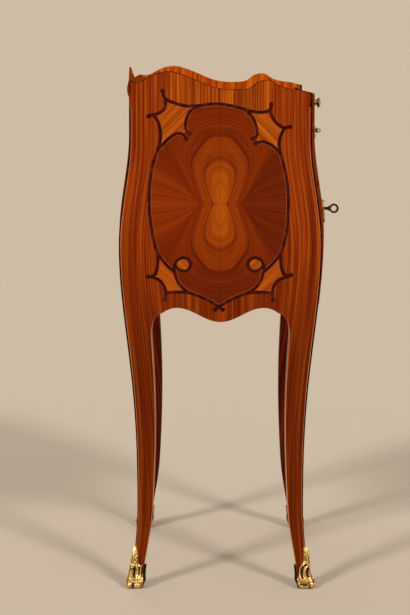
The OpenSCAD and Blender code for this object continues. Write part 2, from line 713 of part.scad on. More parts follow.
module oval_veneer()
  side_veneer(0)
    difference() {
      oval_drawing();
      string_drawing();
      loops(loop_r - string_w / 2);
    }

module veneer_frame_left() color(tulipwood) centred() mirror([1, 0, 0]) veneer_frame();
module veneer_frame_right() color(tulipwood) centred() veneer_frame();
module spandrels_left() color(satinwood) centred() mirror([1, 0, 0]) spandrels();
module spandrels_right() color(satinwood) centred() spandrels();
module oval_veneer_left() color(walnut) centred() mirror([1, 0, 0]) oval_veneer();
module oval_veneer_right() color(walnut) centred() oval_veneer();
module stringing_left() color(kingwood) centred() mirror([1, 0, 0]) side_veneer(0) string_drawing();
module stringing_right() color(kingwood) centred() side_veneer(0) string_drawing();

// Writing slide: board, lip, leather and knob
leather_t = 1;
leather_margin = 20;
lip_groove = 5;
lip_tongue_t = 5;
slide_half = post_x - run_gap;
slide_end = back_in - slide_room;
lip_tongue_z = slide_z0 + 4;

module slide_board() color(oak) centred()
  difference() {
    union() {
      block([-slide_half, -lip_in, slide_z0], [slide_half, slide_end, slide_z1]);
      block([-slide_half + 8, -lip_in - lip_groove, lip_tongue_z],
            [slide_half - 8, -lip_in + 1, lip_tongue_z + lip_tongue_t]);
    }
    block([-slide_half + leather_margin, -lip_in + leather_margin, slide_z1 - leather_t],
          [slide_half - leather_margin, slide_end - leather_margin, slide_z1 + 1]);
  }

module slide_leather() color(green_leather) centred()
  block([-slide_half + leather_margin + glue_gap, -lip_in + leather_margin + glue_gap, slide_z1 - leather_t],
        [slide_half - leather_margin - glue_gap, slide_end - leather_margin - glue_gap, slide_z1]);

knob_shank_r = 2.5;
knob_shank_l = 8;
knob_z = (slide_z0 + top_z) / 2;

module slide_lip() color(tulipwood) centred()
  difference() {
    shaped_board(slide_half, 20, 3, level(slide_z0), level(top_z), outer_front, plane(-lip_in));
    mortise([-slide_half + 8, -lip_in - lip_groove, lip_tongue_z],
            [slide_half - 8, -lip_in + 1, lip_tongue_z + lip_tongue_t]);
    translate([0, front_y(0, knob_z) + knob_shank_l + glue_gap, knob_z])
      rotate([90, 0, 0])
        cylinder(h = knob_shank_l + 5, r = knob_shank_r + glue_gap);
  }

// A button turned from the lip outwards, on a shank that is let into it
module slide_knob() color(bronze) centred()
  translate([0, front_y(0, knob_z) - glue_gap, knob_z])
    rotate([90, 0, 0])
      rotate_extrude()
        polygon([[0, -knob_shank_l], [knob_shank_r, -knob_shank_l], [knob_shank_r, 0],
                 [knob_d * 0.3, 0], [knob_d * 0.3, knob_out * 0.12], [knob_d * 0.22, knob_out * 0.28],
                 [knob_d * 0.24, knob_out * 0.38], [knob_d * 0.44, knob_out * 0.5],
                 [knob_d * 0.5, knob_out * 0.66], [knob_d * 0.47, knob_out * 0.82],
                 [knob_d * 0.3, knob_out * 0.95], [0, knob_out]]);

// Lock: a case let into the back of a drawer front, with a chamber for the key's bit
lock_w = 44;
lock_below = 13;
lock_t = 8;
chamber_t = 4;
chamber_r = 8.6;
bit_l = 7.6;
bit_w = 2;
bit_t = 3;
bolt_w = 20;
bolt_t = 4;
bolt_h = 10;
bolt_inset = 0.5;
bolt_y = front_in + 2;
lock_y = front_in + lock_t;
keyhole_deep = 60;

function lock_top(opening) = opening[1] - front_gap - bolt_inset;
function key_z(opening) = opening[1] - keyhole_drop;

// The keyhole's outline in X and Z
module keyhole(spare)
  union() {
    circle(shank_r + spare);
    translate([-bit_w / 2 - spare, -bit_l - spare - 0.5]) square([bit_w + 2 * spare, bit_l]);
  }

module lock(opening)
  difference() {
    block([-lock_w / 2, -lock_y, key_z(opening) - lock_below], [lock_w / 2, -front_in, lock_top(opening)]);
    translate([0, -bolt_y + 0.3, key_z(opening)])
      rotate([90, 0, 0])
        cylinder(h = chamber_t + 0.6, r = chamber_r);
    translate([0, -bolt_y, key_z(opening)])
      rotate([90, 0, 0])
        linear_extrude(lock_t)
          keyhole(key_gap);
    block([-bolt_w / 2 - 0.3, -bolt_y - bolt_t - 0.3, lock_top(opening) - bolt_h - 2],
          [bolt_w / 2 + 0.3, -bolt_y + 0.3, lock_top(opening) + 1]);
  }

module bolt(opening)
  block([-bolt_w / 2, -bolt_y - bolt_t, lock_top(opening) - bolt_h],
        [bolt_w / 2, -bolt_y, lock_top(opening)]);

// Key: shank along Y, flag bit in the lock and a ring for its bow in the plane of the bit
upper_bow_r = 2.8;
lower_bow_r = 7;
upper_collar_t = 1.5;
lower_collar_t = 2;
bow_hole = 0.58;
bow_t = bit_w * 1.2;
collar_r = shank_r * 1.6;

module key(opening, out, bow_r, collar_t) {
  inner = -bolt_y - 0.2;
  tip = front_y(0, key_z(opening)) - out;
  translate([0, 0, key_z(opening)]) {
    translate([0, inner, 0]) rotate([90, 0, 0]) cylinder(h = inner - tip - 2 * bow_r + 1, r = shank_r);
    translate([0, tip + 2 * bow_r + collar_t - 0.5, 0])
      rotate([90, 0, 0]) cylinder(h = collar_t, r = collar_r);
    block([-bit_w / 2, inner - bit_t, -bit_l], [bit_w / 2, inner, 0]);
    along_x(-bow_t / 2, bow_t / 2)
      translate([tip + bow_r, 0])
        difference() {
          circle(bow_r);
          circle(bow_r * bow_hole);
        }
  }
}

// Drawers. The sides run from the front's back face to the drawer's back end.
drawer_half = post_x - 1;
groove_d = 4;
drawer_end = back_in - drawer_room;

module drawer_groove(opening)
  block([-drawer_half + drawer_side_t - groove_d, -front_in - groove_d,
         opening[0] + run_gap + drawer_lift],
        [drawer_half - drawer_side_t + groove_d, drawer_end + 1,
         opening[0] + run_gap + drawer_lift + drawer_bottom_t + glue_gap]);

module drawer_front(opening)
  difference() {
    shaped_board(post_x - front_gap, 20, 6, level(opening[0] + front_gap), level(opening[1] - front_gap),
                 outer_front, plane(-front_in));
    drawer_groove(opening);
    mortise([-lock_w / 2, -lock_y, key_z(opening) - lock_below], [lock_w / 2, -front_in + 1, opening[1]]);
    translate([0, -lock_y + 1, key_z(opening)])
      rotate([90, 0, 0])
        linear_extrude(keyhole_deep)
          keyhole(key_gap);
  }

module drawer_side(opening)
  difference() {
    block([drawer_half - drawer_side_t, -front_in, opening[0] + run_gap],
          [drawer_half, drawer_end, opening[1] - 2]);
    drawer_groove(opening);
  }

module drawer_back(opening)
  block([-drawer_half + drawer_side_t, drawer_end - drawer_back_t - 2,
         opening[0] + run_gap + drawer_lift + drawer_bottom_t + glue_gap],
        [drawer_half - drawer_side_t, drawer_end - 2, opening[1] - 6]);

module drawer_bottom(opening)
  block([-drawer_half + drawer_side_t - groove_d + glue_gap, -front_in - groove_d + glue_gap,
         opening[0] + run_gap + drawer_lift],
        [drawer_half - drawer_side_t + groove_d - glue_gap, drawer_end,
         opening[0] + run_gap + drawer_lift + drawer_bottom_t]);

// Keyhole plate: a cut outline that follows the swell of the front
plate_gap = 0.2;
rim_r = 4.6;
module plate(opening, thick) {
  z = key_z(opening);
  heights = stops(z - 22, z + 22, 6);
  intersection() {
    along_x(-20, 20)
      polygon(concat([for (h = heights) [front_y(0, h) - plate_gap, h]],
                     [for (h = reversed(heights)) [front_y(0, h) - plate_gap - thick, h]]));
    translate([0, 0, z])
      along_y(-case_d, 0)
        difference() {
          union() children();
          keyhole(key_gap);
        }
  }
}

leaf_points = [[0, 13.5], [3, 11], [3.6, 7.5], [7, 6.5], [7.8, 2], [6, -2], [6.6, -6.5], [4, -10],
               [4.6, -14.5], [2, -17], [0, -21], [-2, -17], [-4.6, -14.5], [-4, -10], [-6.6, -6.5],
               [-6, -2], [-7.8, 2], [-7, 6.5], [-3.6, 7.5], [-3, 11]];

module upper_front() color(tulipwood) centred() drawer_front(upper);
module upper_side_left() color(oak) centred() mirror([1, 0, 0]) drawer_side(upper);
module upper_side_right() color(oak) centred() drawer_side(upper);
module upper_back() color(oak) centred() drawer_back(upper);
module upper_bottom() color(oak) centred() drawer_bottom(upper);
module upper_lock() color(brass) centred() lock(upper);
module upper_escutcheon() color(bronze) centred()
  plate(upper, rim_t) {
    for (z = [1.5, -6.5]) translate([0, z]) circle(rim_r);
    translate([-rim_r, -6.5]) square([2 * rim_r, 8]);
  }
module upper_bolt() color(steel) centred() bolt(upper);
module upper_key() color(steel) centred() key(upper, upper_key_out, upper_bow_r, upper_collar_t);

module lower_front() color(tulipwood) centred() drawer_front(lower);
module lower_side_left() color(oak) centred() mirror([1, 0, 0]) drawer_side(lower);
module lower_side_right() color(oak) centred() drawer_side(lower);
module lower_back() color(oak) centred() drawer_back(lower);
module lower_bottom() color(oak) centred() drawer_bottom(lower);
module lower_lock() color(brass) centred() lock(lower);
module lower_escutcheon() color(bronze) centred()
  plate(lower, plate_t) polygon(curve(leaf_points, 2, true));
module lower_bolt() color(steel) centred() bolt(lower);
module lower_key() color(steel) centred() key(lower, lower_key_out, lower_bow_r, lower_collar_t);

leg_front_left();
leg_front_right();
leg_back_left();
leg_back_right();
sabot_front_left();
sabot_front_right();
sabot_back_left();
sabot_back_right();
side_panel_left();
side_panel_right();
back_panel();
gallery_left();
gallery_right();
gallery_back();
top_board();
slide_rail();
slide_bearers();
drawer_rail();
front_apron();
bottom_board();
drawer_runners();
drawer_guides();
drawer_stops();
veneer_frame_left();
veneer_frame_right();
spandrels_left();
spandrels_right();
oval_veneer_left();
oval_veneer_right();
stringing_left();
stringing_right();
slide_board();
slide_lip();
slide_leather();
slide_knob();
upper_front();
upper_side_left();
upper_side_right();
upper_back();
upper_bottom();
upper_lock();
upper_escutcheon();
upper_bolt();
upper_key();
lower_front();
lower_side_left();
lower_side_right();
lower_back();
lower_bottom();
lower_lock();
lower_escutcheon();
lower_bolt();
lower_key();
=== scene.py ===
# Looks of the small marquetry table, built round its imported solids. Metres, Z up, front towards -Y.
import bmesh
import bpy
import json
import numpy as np
from math import atan2, cos, hypot, pi, radians, sin, sqrt
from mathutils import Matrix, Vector


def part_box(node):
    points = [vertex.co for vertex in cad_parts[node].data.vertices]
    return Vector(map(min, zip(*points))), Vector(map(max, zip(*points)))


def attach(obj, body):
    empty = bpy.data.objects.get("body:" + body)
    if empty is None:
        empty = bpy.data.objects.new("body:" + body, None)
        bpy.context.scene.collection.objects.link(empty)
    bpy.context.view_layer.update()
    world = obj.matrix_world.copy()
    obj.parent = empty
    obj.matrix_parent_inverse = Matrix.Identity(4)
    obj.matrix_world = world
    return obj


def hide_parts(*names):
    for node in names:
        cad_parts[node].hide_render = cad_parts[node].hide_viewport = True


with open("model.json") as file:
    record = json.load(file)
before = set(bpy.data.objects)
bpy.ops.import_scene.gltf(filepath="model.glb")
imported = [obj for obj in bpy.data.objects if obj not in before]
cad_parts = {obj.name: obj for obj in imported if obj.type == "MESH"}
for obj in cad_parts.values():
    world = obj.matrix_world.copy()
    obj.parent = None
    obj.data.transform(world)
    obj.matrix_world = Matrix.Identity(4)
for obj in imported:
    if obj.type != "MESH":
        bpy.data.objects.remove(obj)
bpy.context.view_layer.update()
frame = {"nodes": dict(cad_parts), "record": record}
record = frame["record"]
nodes = frame["nodes"]
body_of = {node: body for body, held in record["behaviour"]["bodies"].items() for node in held}
slot_of = {part["node"]: part["material_slot"] for part in record["subparts"]}
set_back = record["mounts"][0]["pos_m"][1]


def placed(name, data):
    """A new object in the scene."""
    obj = bpy.data.objects.new(name, data)
    bpy.context.scene.collection.objects.link(obj)
    return obj


def aimed(name, data, place, direction):
    """A camera or lamp at a place, turned to a direction."""
    obj = placed(name, data)
    obj.location = place
    obj.rotation_mode = "QUATERNION"
    obj.rotation_quaternion = direction.to_track_quat("-Z", "Y")
    return obj


# ---- The camera: the photograph's own view of the left side, a little from above ----
eye = Vector((-3.166, set_back + 0.0016, 0.7865))
turn, tilt = 0.0066, 0.1301
focal_pixels, photo_height, sensor = 2174, 615, 36.0
camera_data = bpy.data.cameras.new("camera")
camera_data.sensor_width = sensor
camera_data.lens = sensor * focal_pixels / photo_height
aim = Vector((cos(tilt) * cos(turn), cos(tilt) * sin(turn), -sin(tilt)))
bpy.context.scene.camera = aimed("camera", camera_data, eye, aim)

# ---- The case's lines, as in the solids ----
case_w, case_d = 0.384, 0.250
top_z, apron_mid_z, arch_z, flare_z = 0.685, 0.378, 0.390, 0.352
ankle_z, knee_z, waist_z = 0.102, 0.482, 0.632
ankle_in, toe_in, knee_out = 0.009, 0.005, 0.0144
lower_fullness, upper_fullness = 1.45, 1.03
front_bow, back_bow = 0.011, 0.007
foot_t, ankle_t, knee_t, post = 0.0145, 0.0215, 0.035, 0.044
corner_flat, veneer_t, sole_t, crest_h = 0.0042, 0.001, 0.003, 0.0385
gallery_h, edge_ease, string_w, inlay_margin = 0.0365, 0.0012, 0.0045, 0.0275
case_top = top_z - 0.012

# Small differences from the solids: feet that splay and thin out, and a round on the legs' edges
splay_z, foot_splay, foot_thinner, tight_ease = 0.13, 0.003, 0.001, 0.0003
# The band of dark wood down the sides' edges, and the joints of the surround's sheets
band_w, sheet_joint = 0.0027, 0.0682


def mix(a, b, t):
    return a + (b - a) * t


def ease(t):
    return (1 - cos(pi * max(0, min(1, t)))) / 2


def bell(t):
    return (1 + cos(pi * min(1, abs(t)))) / 2


def corner_sweep(z):
    if z < ankle_z:
        return -ankle_in + (ankle_in - toe_in) * ease(1 - z / ankle_z)
    if z < knee_z:
        share = (z - ankle_z) / (knee_z - ankle_z)
        return -ankle_in + (ankle_in + knee_out) * ease(share ** lower_fullness)
    if z < waist_z:
        return knee_out * (1 - ease(((z - knee_z) / (waist_z - knee_z)) ** upper_fullness))
    return 0.0


# The solids follow the curve in flats between these levels
flats = [mix(apron_mid_z - 0.004, waist_z, i / 18) for i in range(19)] + [top_z + crest_h + 0.004]


def flat_sweep(z):
    for low, high in zip(flats, flats[1:]):
        if low <= z <= high:
            return mix(corner_sweep(low), corner_sweep(high), (z - low) / (high - low))
    return corner_sweep(z)


def half_w(z):
    return case_w / 2 + corner_sweep(z)


def half_d(z):
    return case_d / 2 + corner_sweep(z)


def front_line(x, z):
    return -half_d(z) - front_bow * bell(x / half_w(z))


def back_line(x, z):
    return half_d(z) + back_bow * bell(x / half_w(z))


def curved(points, count):
    """The same smooth line through points as in the solids."""
    last = len(points)
    found = []
    for i in range(last - 1):
        four = [points[max(0, min(last - 1, i + k))] for k in (-1, 0, 1, 2)]
        for j in range(count):
            t = j / count
            found.append(tuple(
                (2 * p1 + (p2 - p0) * t + (2 * p0 - 5 * p1 + 4 * p2 - p3) * t * t
                 + (3 * p1 - p0 - 3 * p2 + p3) * t * t * t) / 2
                for p0, p1, p2, p3 in zip(*four)))
    return found + [points[-1]]


# ---- The inlay's drawing: hundredths of the panel's half depth and half height ----
inlay_half = case_d / 2 - inlay_margin
inlay_mid, inlay_rise = (apron_mid_z + top_z) / 2, (top_z - apron_mid_z) / 2


def inlay(points):
    return [(-p[0] * inlay_half / 100, inlay_mid + p[1] * inlay_rise / 100) for p in points]


loop_points = [(-51, -47.5), (47.5, -47.5)]
loop_r = inlay_half * 0.118
# How far the drawn loop reaches beside, above and below its middle, and its fullness on the way
loop_reach, loop_above, loop_below = 0.0155, 0.0165, 0.010
loop_places, loop_fullness = (-loop_r, 0.007, loop_r, loop_reach), (0, 0.0031, 0.0026, 0)


def fuller_loop(y, z):
    """Draws a loop out to its string, where the solids have a plain ring beside the string."""
    for (loop_y, loop_z), out in zip(inlay(loop_points), (1, -1)):
        u, w = out * (y - loop_y), z - loop_z
        if -loop_r < u < loop_reach and -loop_below < w < loop_above:
            drawn = float(np.interp(u, loop_places, loop_fullness))
            y += out * drawn * bell(w / (loop_above if w > 0 else loop_below))
    return y


# ---- Finishes ----
def rgb(r, g, b):
    def linear(c):
        c /= 255
        return c / 12.92 if c < 0.04045 else ((c + 0.055) / 1.055) ** 2.4
    return (linear(r), linear(g), linear(b), 1)


def new_node(tree, kind, inputs=(), **settings):
    """A node with a value or a socket for each input, which go by place or by name."""
    node = tree.nodes.new(kind)
    for name, value in settings.items():
        setattr(node, name, value)
    for place, value in inputs.items() if isinstance(inputs, dict) else enumerate(inputs):
        if isinstance(value, bpy.types.NodeSocket):
            tree.links.new(value, node.inputs[place])
        elif value is not None:
            node.inputs[place].default_value = value
    return node


class Finish:
    """A procedural material, built up node by node. Its methods work on sockets and values."""

    def __init__(self, name, **sockets):
        self.material = bpy.data.materials.new(name)
        self.material.use_nodes = True
        self.tree = self.material.node_tree
        self.skin = self.tree.nodes["Principled BSDF"]
        for socket, value in sockets.items():
            self.skin.inputs[socket.replace("_", " ")].default_value = value

    def add(self, kind, inputs=(), **settings):
        return new_node(self.tree, "ShaderNode" + kind, inputs, **settings)

    def math(self, operation, *values):
        return self.add("Math", values, operation=operation).outputs[0]

    def weigh(self, a, part_a, b, part_b):
        """The sum of two values, each times its weight."""
        a, b = self.math("MULTIPLY", a, part_a), self.math("MULTIPLY", b, part_b)
        return self.math("ADD", a, b)

    def away(self, value, line):
        return self.math("ABSOLUTE", self.math("SUBTRACT", value, line))

    def place(self, uv=None):
        if uv:
            return self.add("UVMap", uv_map=uv).outputs[0]
        return self.add("TexCoord").outputs["Object"]

    def split(self, vector):
        return self.add("SeparateXYZ", [vector]).outputs

    def stretch(self, vector, scale, offset=(0, 0, 0)):
        return self.add("Mapping", [vector, offset, None, scale]).outputs[0]

    def cloud(self, vector, scale=1.0, detail=2.0, rough=0.5, bend=0.0):
        inputs = {"Vector": vector, "Scale": scale, "Detail": detail, "Roughness": rough,
                  "Distortion": bend}
        return self.add("TexNoise", inputs).outputs["Fac"]

    def shades(self, value, *stops):
        """Stops are places with a colour in 0 to 255, or with four factors for a colour."""
        node = self.add("ValToRGB", [value])
        ramp = node.color_ramp
        while len(ramp.elements) < len(stops):
            ramp.elements.new(0.5)
        for element, (place, colour) in zip(ramp.elements, stops):
            element.position = place
            element.color = rgb(*colour) if len(colour) == 3 else colour
        return node.outputs["Color"]

    def range(self, value, low, high, new_low=0.0, new_high=1.0, soft=False):
        return self.add("MapRange", [value, low, high, new_low, new_high],
                        interpolation_type="SMOOTHSTEP" if soft else "LINEAR").outputs[0]

    def blend(self, how, part, a, b):
        inputs = {0: part, 6: a, 7: b}
        return self.add("Mix", inputs, data_type="RGBA", blend_type=how).outputs[2]

    def into(self, socket, value):
        self.tree.links.new(value, self.skin.inputs[socket])

    def bump(self, height, strength, depth):
        inputs = {"Strength": strength, "Distance": depth, "Height": height}
        self.into("Normal", self.add("Bump", inputs).outputs[0])


tone_places = (0.33, 0.44, 0.5, 0.56, 0.67)
# Tints across the surround's sheets, from the front joint to the back one
sheet_tints = [(0.0, (1.35, 1.45, 1.3, 1)), (0.075, (1.25, 1.3, 1.2, 1)),
               (0.09, (0.86, 0.82, 0.8, 1)), (0.36, (0.92, 0.9, 0.9, 1)),
               (0.38, (1.22, 1.3, 1.2, 1)), (0.5, (1.18, 1.24, 1.2, 1)),
               (0.52, (0.92, 0.9, 0.9, 1)), (0.72, (1.06, 1.08, 1.0, 1)),
               (0.9, (1.1, 1.12, 1.0, 1)), (1.0, (1.38, 1.5, 1.3, 1))]


def striped_veneer(name, tones, low_tone=(), fine=620.0, broad=170.0, gloss=0.05, tints=None):
    """Straight stripes along the second coordinate, as in tulipwood and its kin. Each entry of
    low_tone darkens the wood from one height down to another."""
    f = Finish(name, Roughness=0.3, Specular_IOR_Level=gloss)
    at = f.place("grain")
    stripes = f.cloud(f.stretch(at, (broad, 1.4, 1)), bend=0.1)
    lines = f.cloud(f.stretch(at, (fine, 5.0, 1), (3.1, 0, 0)), detail=3.0, rough=0.6)
    pores = f.cloud(f.stretch(at, (2600.0, 90.0, 1), (7.7, 0, 0)))
    lines = f.math("MULTIPLY_ADD", lines, 0.7, -0.11)
    tone = f.math("ADD", f.math("MULTIPLY", stripes, 0.52), lines)
    colour = f.shades(tone, *zip(tone_places, tones))
    for low, high, shade in low_tone:
        fade = f.range(f.split(f.place())[2], low, high, 1.0, 0.0, soft=True)
        colour = f.blend("MULTIPLY", fade, colour, (shade, shade, shade, 1))
    if tints:
        y = f.math("SUBTRACT", f.split(f.place())[1], set_back)
        colour = f.blend("MULTIPLY", 1.0, colour, f.shades(f.range(y, -0.07, 0.07), *tints))
    pores = f.range(pores, 0.6, 0.78, 0.0, 0.35)
    f.into("Base Color", f.blend("MULTIPLY", pores, colour, rgb(120, 60, 50)))
    return f.material


stile_tones = [(98, 24, 3), (118, 36, 4), (133, 46, 5), (150, 59, 6), (180, 84, 10)]
stile_low = ((0.40, 0.50, 0.82), (0.30, 0.42, 0.72))
field_tones = [(109, 32, 4), (130, 47, 5), (148, 62, 6), (165, 75, 8), (194, 102, 17)]
satin_tones = [(114, 34, 4), (144, 56, 6), (162, 70, 8), (178, 84, 12), (200, 107, 21)]
front_tones = [(88, 20, 3), (112, 34, 4), (132, 46, 5), (150, 60, 7), (178, 84, 12)]
stile_veneer = striped_veneer("stile_veneer", stile_tones, stile_low)
field_veneer = striped_veneer("field_veneer", field_tones, ((0.38, 0.44, 0.6),), tints=sheet_tints)
satin_veneer = striped_veneer("satin_veneer", satin_tones, fine=700.0, broad=130.0)
front_veneer = striped_veneer("front_veneer", front_tones, gloss=0.0)


# ---- The oval's figure: contours of one quarter, in millimetres out from the two seams ----
seam_y, seam_z = set_back + 0.0006, 0.5413
flame_contours = [
    (18, [(0, 18), (3, 17), (5.5, 13), (6, 9), (4.5, 4), (2.5, 0)]),
    (40, [(0, 40), (4.5, 38.8), (9, 35), (12, 29), (13, 22), (12, 14.5), (8.8, 6), (5, 0)]),
    (62, [(0, 62), (6, 60.8), (12, 56.5), (17, 48.5), (19.8, 38), (19.5, 28), (16.5, 16.5),
          (12.5, 7), (9, 0)]),
    (76, [(0, 76), (8, 74.8), (16, 70.5), (22.5, 63), (27, 53), (28.5, 43), (27.5, 32), (24, 18),
          (19.5, 7), (16.5, 0)]),
    (93, [(0, 93), (10, 91.5), (20, 86), (29, 77), (35, 66), (38, 55), (37.5, 42), (34, 27),
          (29, 13), (24, 0)]),
    (108, [(0, 108), (12, 106.5), (24, 101.5), (35, 93), (44, 82), (50, 69), (50, 56), (45, 41),
           (36, 22), (26, 0)]),
    (122, [(0, 122), (14, 120.5), (29, 115.5), (43, 107), (55, 95), (63, 81), (63, 67), (55, 49),
           (42, 26), (27, 0)]),
    (136, [(0, 136), (17, 134.5), (36, 129), (53, 119), (68, 105), (78, 90), (77, 76), (66, 59),
           (48, 31), (28, 0)]),
]
last_contour = flame_contours[-1][0]


def gap_to_stretch(a, b, start, end):
    """How far points are from the straight stretch between two others."""
    (x0, y0), (x1, y1) = start, end
    share = ((a - x0) * (x1 - x0) + (b - y0) * (y1 - y0)) / ((x1 - x0) ** 2 + (y1 - y0) ** 2)
    share = np.clip(share, 0, 1)
    return np.hypot(a - mix(x0, x1, share), b - mix(y0, y1, share))


def flame_field():
    """How far out among the contours each millimetre of the quarter lies."""
    a, b = np.meshgrid(np.arange(0.0, 106.0), np.arange(0.0, 146.0), indexing="ij")
    sway = 0.7 * np.sin(a / 11 + b / 17) + 0.8 * np.sin(b / 7.5 - a / 13)
    a, b = a + sway * np.clip(a / 12, 0, 1), b + 0.8 * sway * np.clip(b / 12, 0, 1)
    levels, gaps, within = [0], [np.hypot(a, b)], [np.zeros_like(a, bool)]
    for level, points in flame_contours:
        line = curved(points, 5)
        gap, crossings = np.full_like(a, 999.0), np.zeros_like(a, int)
        for (x0, y0), (x1, y1) in zip(line, line[1:]):
            gap = np.minimum(gap, gap_to_stretch(a, b, (x0, y0), (x1, y1)))
            spans = (y0 > b) != (y1 > b)
            crossings += spans & (a < x0 + (b - y0) * (x1 - x0) / (y1 - y0 if y1 != y0 else 1e-9))
        levels.append(level)
        gaps.append(gap)
        within.append(crossings % 2 == 1)
    # Outside the last contour the figure fans out to the sides and runs on above
    fan = np.arctan2(b * (1 + np.clip(a - 28, 0, 99) / 90), np.maximum(a - 27, 0.01))
    field = last_contour + 34 * np.clip(1.1 - fan, 0, 1.1) / 1.1
    above = (b > last_contour - 0.0095 * a * a) & (a < 66)
    field = np.where(above, last_contour + gaps[-1] * 0.9, field)
    for k in range(len(levels) - 1, 0, -1):
        share = gaps[k - 1] / (gaps[k - 1] + gaps[k] + 1e-6)
        field = np.where(within[k], levels[k - 1] + (levels[k] - levels[k - 1]) * share, field)
    return field


flame_rings = [(0.0, (172, 80, 9)), (0.27, (158, 66, 5)), (0.345, (146, 57, 4)),
               (0.362, (120, 39, 3)), (0.395, (142, 54, 4)), (0.45, (146, 56, 4)),
               (0.525, (134, 47, 3)), (0.545, (110, 33, 3)), (0.585, (128, 43, 3)),
               (0.68, (124, 40, 3)), (0.79, (118, 36, 3)), (0.84, (130, 44, 3)),
               (1.0, (140, 50, 4))]
flame_lines = [(0.34, (0.62, 0.55, 0.55, 1)), (0.5, (0.9, 0.89, 0.9, 1)),
               (0.66, (1.12, 1.2, 1.1, 1))]


def matched_flame(name):
    """Four leaves of one crotch figure opened about an upright and a level seam."""
    f = Finish(name, Roughness=0.28, Specular_IOR_Level=0.05)
    phase, lean, _ = f.split(f.place("grain"))
    y, z = f.split(f.place())[1:3]

    def threads(across, along, number):
        at = [f.math("MULTIPLY", phase, across), f.math("MULTIPLY", lean, along), number]
        return f.cloud(f.add("CombineXYZ", at).outputs[0])

    lines = f.weigh(threads(210.0, 1.6, 0.0), 0.6, threads(760.0, 3.0, 4.0), 0.4)
    tints = f.shades(f.math("MULTIPLY", phase, 5.8), *flame_rings)
    colour = f.blend("MULTIPLY", 1.0, tints, f.shades(lines, *flame_lines))
    # The bright heart, the darker lobe at its front side, and the darker foot
    shine = f.range(f.away(y, seam_y - 0.003), 0.0, 0.012, 0.42, 0.0, soft=True)
    shine = f.math("MULTIPLY", shine, f.range(f.away(z, seam_z), 0.03, 0.068, 1.0, 0.0, soft=True))
    colour = f.blend("MULTIPLY", shine, colour, (1.25, 1.5, 1.8, 1))
    lobe = f.math("MULTIPLY", f.range(phase, 0.132, 0.142), f.range(y, seam_y, seam_y - 0.01))
    colour = f.blend("MULTIPLY", lobe, colour, (0.62, 0.55, 0.6, 1))
    foot = f.range(z, seam_z - 0.06, seam_z - 0.11)
    colour = f.blend("MULTIPLY", foot, colour, (0.8, 0.74, 0.8, 1))
    upright = f.range(f.away(y, seam_y), 0.0002, 0.0007, 0.35, 0.0)
    level = f.range(f.away(z, seam_z), 0.0002, 0.0006, 0.25, 0.0)
    seams = f.math("MAXIMUM", upright, level)
    f.into("Base Color", f.blend("MULTIPLY", seams, colour, rgb(110, 50, 30)))
    return f.material


flame_phase = flame_field()
flame_veneer = matched_flame("flame_veneer")


def grained(name, tones, axis):
    """Plain sawn wood whose grain runs along one of the piece's own axes."""
    f = Finish(name, Roughness=0.5, Specular_IOR_Level=0.3)
    long = [1, 1, 1]
    long[axis] = 0.06
    at = f.stretch(f.place(), long)
    rings = f.cloud(at, 60.0, detail=3.0, bend=0.4)
    fibres = f.cloud(at, 900.0)
    f.into("Base Color", f.shades(f.weigh(rings, 0.7, fibres, 0.3), *zip((0.36, 0.5, 0.64), tones)))
    f.bump(fibres, 0.12, 0.0003)
    return f.material


oak_tones = [(146, 104, 58), (172, 130, 78), (190, 150, 98)]
oak = grained("oak_along", oak_tones, 1)
oak_across = grained("oak_across", oak_tones, 0)


def short_lengths(name, length, streaks, part, stops, **sockets):
    """Stringing or banding of short lengths laid end to end, each with a tone of its own."""
    f = Finish(name, **sockets)
    at = f.place("grain")
    lengths = f.math("FLOOR", f.math("DIVIDE", f.split(at)[1], length))
    own = f.add("TexWhiteNoise", [None, lengths], noise_dimensions="1D").outputs[0]
    fibres = f.cloud(f.stretch(at, (*streaks, 1)))
    f.into("Base Color", f.shades(f.weigh(own, part, fibres, 1 - part), *stops))
    return f.material


string_stops = [(0.2, (48, 8, 3)), (0.5, (62, 12, 4)), (0.75, (84, 22, 7)), (0.9, (104, 38, 12))]
band_stops = [(0.2, (28, 9, 4)), (0.55, (46, 16, 6)), (0.8, (74, 30, 10)), (0.92, (120, 70, 36))]
dark_string = short_lengths("dark_string", 0.0052, (1400.0, 400.0), 0.6, string_stops,
                            Roughness=0.34, Specular_IOR_Level=0.06)
corner_banding = short_lengths("corner_banding", 0.0065, (300.0, 1500.0), 0.65, band_stops,
                               Roughness=0.4, Specular_IOR_Level=0.0)
# A pale finish laid on the legs' eased edges: a painted highlight.
light_edge = grained("light_edge", [(168, 94, 54), (188, 114, 70), (206, 138, 94)], 2)
# A pale finish for the lines beside the stringing: painted highlights.
light_string = grained("light_string", [(138, 66, 28), (160, 84, 40), (178, 102, 54)], 2)
# A darker copy of the veneer for the legs' inner faces: painted shade.
shaded_inner_tones = [(56, 8, 3), (70, 12, 4), (82, 18, 4), (98, 26, 5), (124, 42, 8)]
# A brighter copy of the veneer for the galleries' inner faces: painted light.
lit_gallery_tones = [(132, 38, 4), (164, 58, 5), (186, 74, 7), (204, 92, 12), (226, 122, 30)]
# A pale copy of the veneer for the galleries' rims: a painted highlight.
rim_highlight_tones = [(150, 70, 24), (178, 92, 36), (196, 110, 50), (210, 128, 66), (226, 150, 90)]
post_veneer = striped_veneer("post_veneer", stile_tones, stile_low, gloss=0.0)
inner_wood = striped_veneer("inner_wood", shaded_inner_tones)
bright_veneer = striped_veneer("bright_veneer", lit_gallery_tones, fine=500.0, broad=120.0, gloss=0.0)
rim_wood = striped_veneer("rim_wood", rim_highlight_tones)

hide = Finish("leather", Roughness=0.5, Specular_IOR_Level=0.35)
tooth = hide.cloud(hide.place(), 900.0, detail=3.0)
rubbed = hide.cloud(hide.place(), 18.0, detail=4.0)
greens = [(0.35, (26, 46, 30)), (0.5, (38, 64, 42)), (0.7, (62, 86, 56))]
hide.into("Base Color", hide.shades(hide.weigh(tooth, 0.3, rubbed, 0.7), *greens))
hide.bump(tooth, 0.3, 0.0002)
leather = hide.material


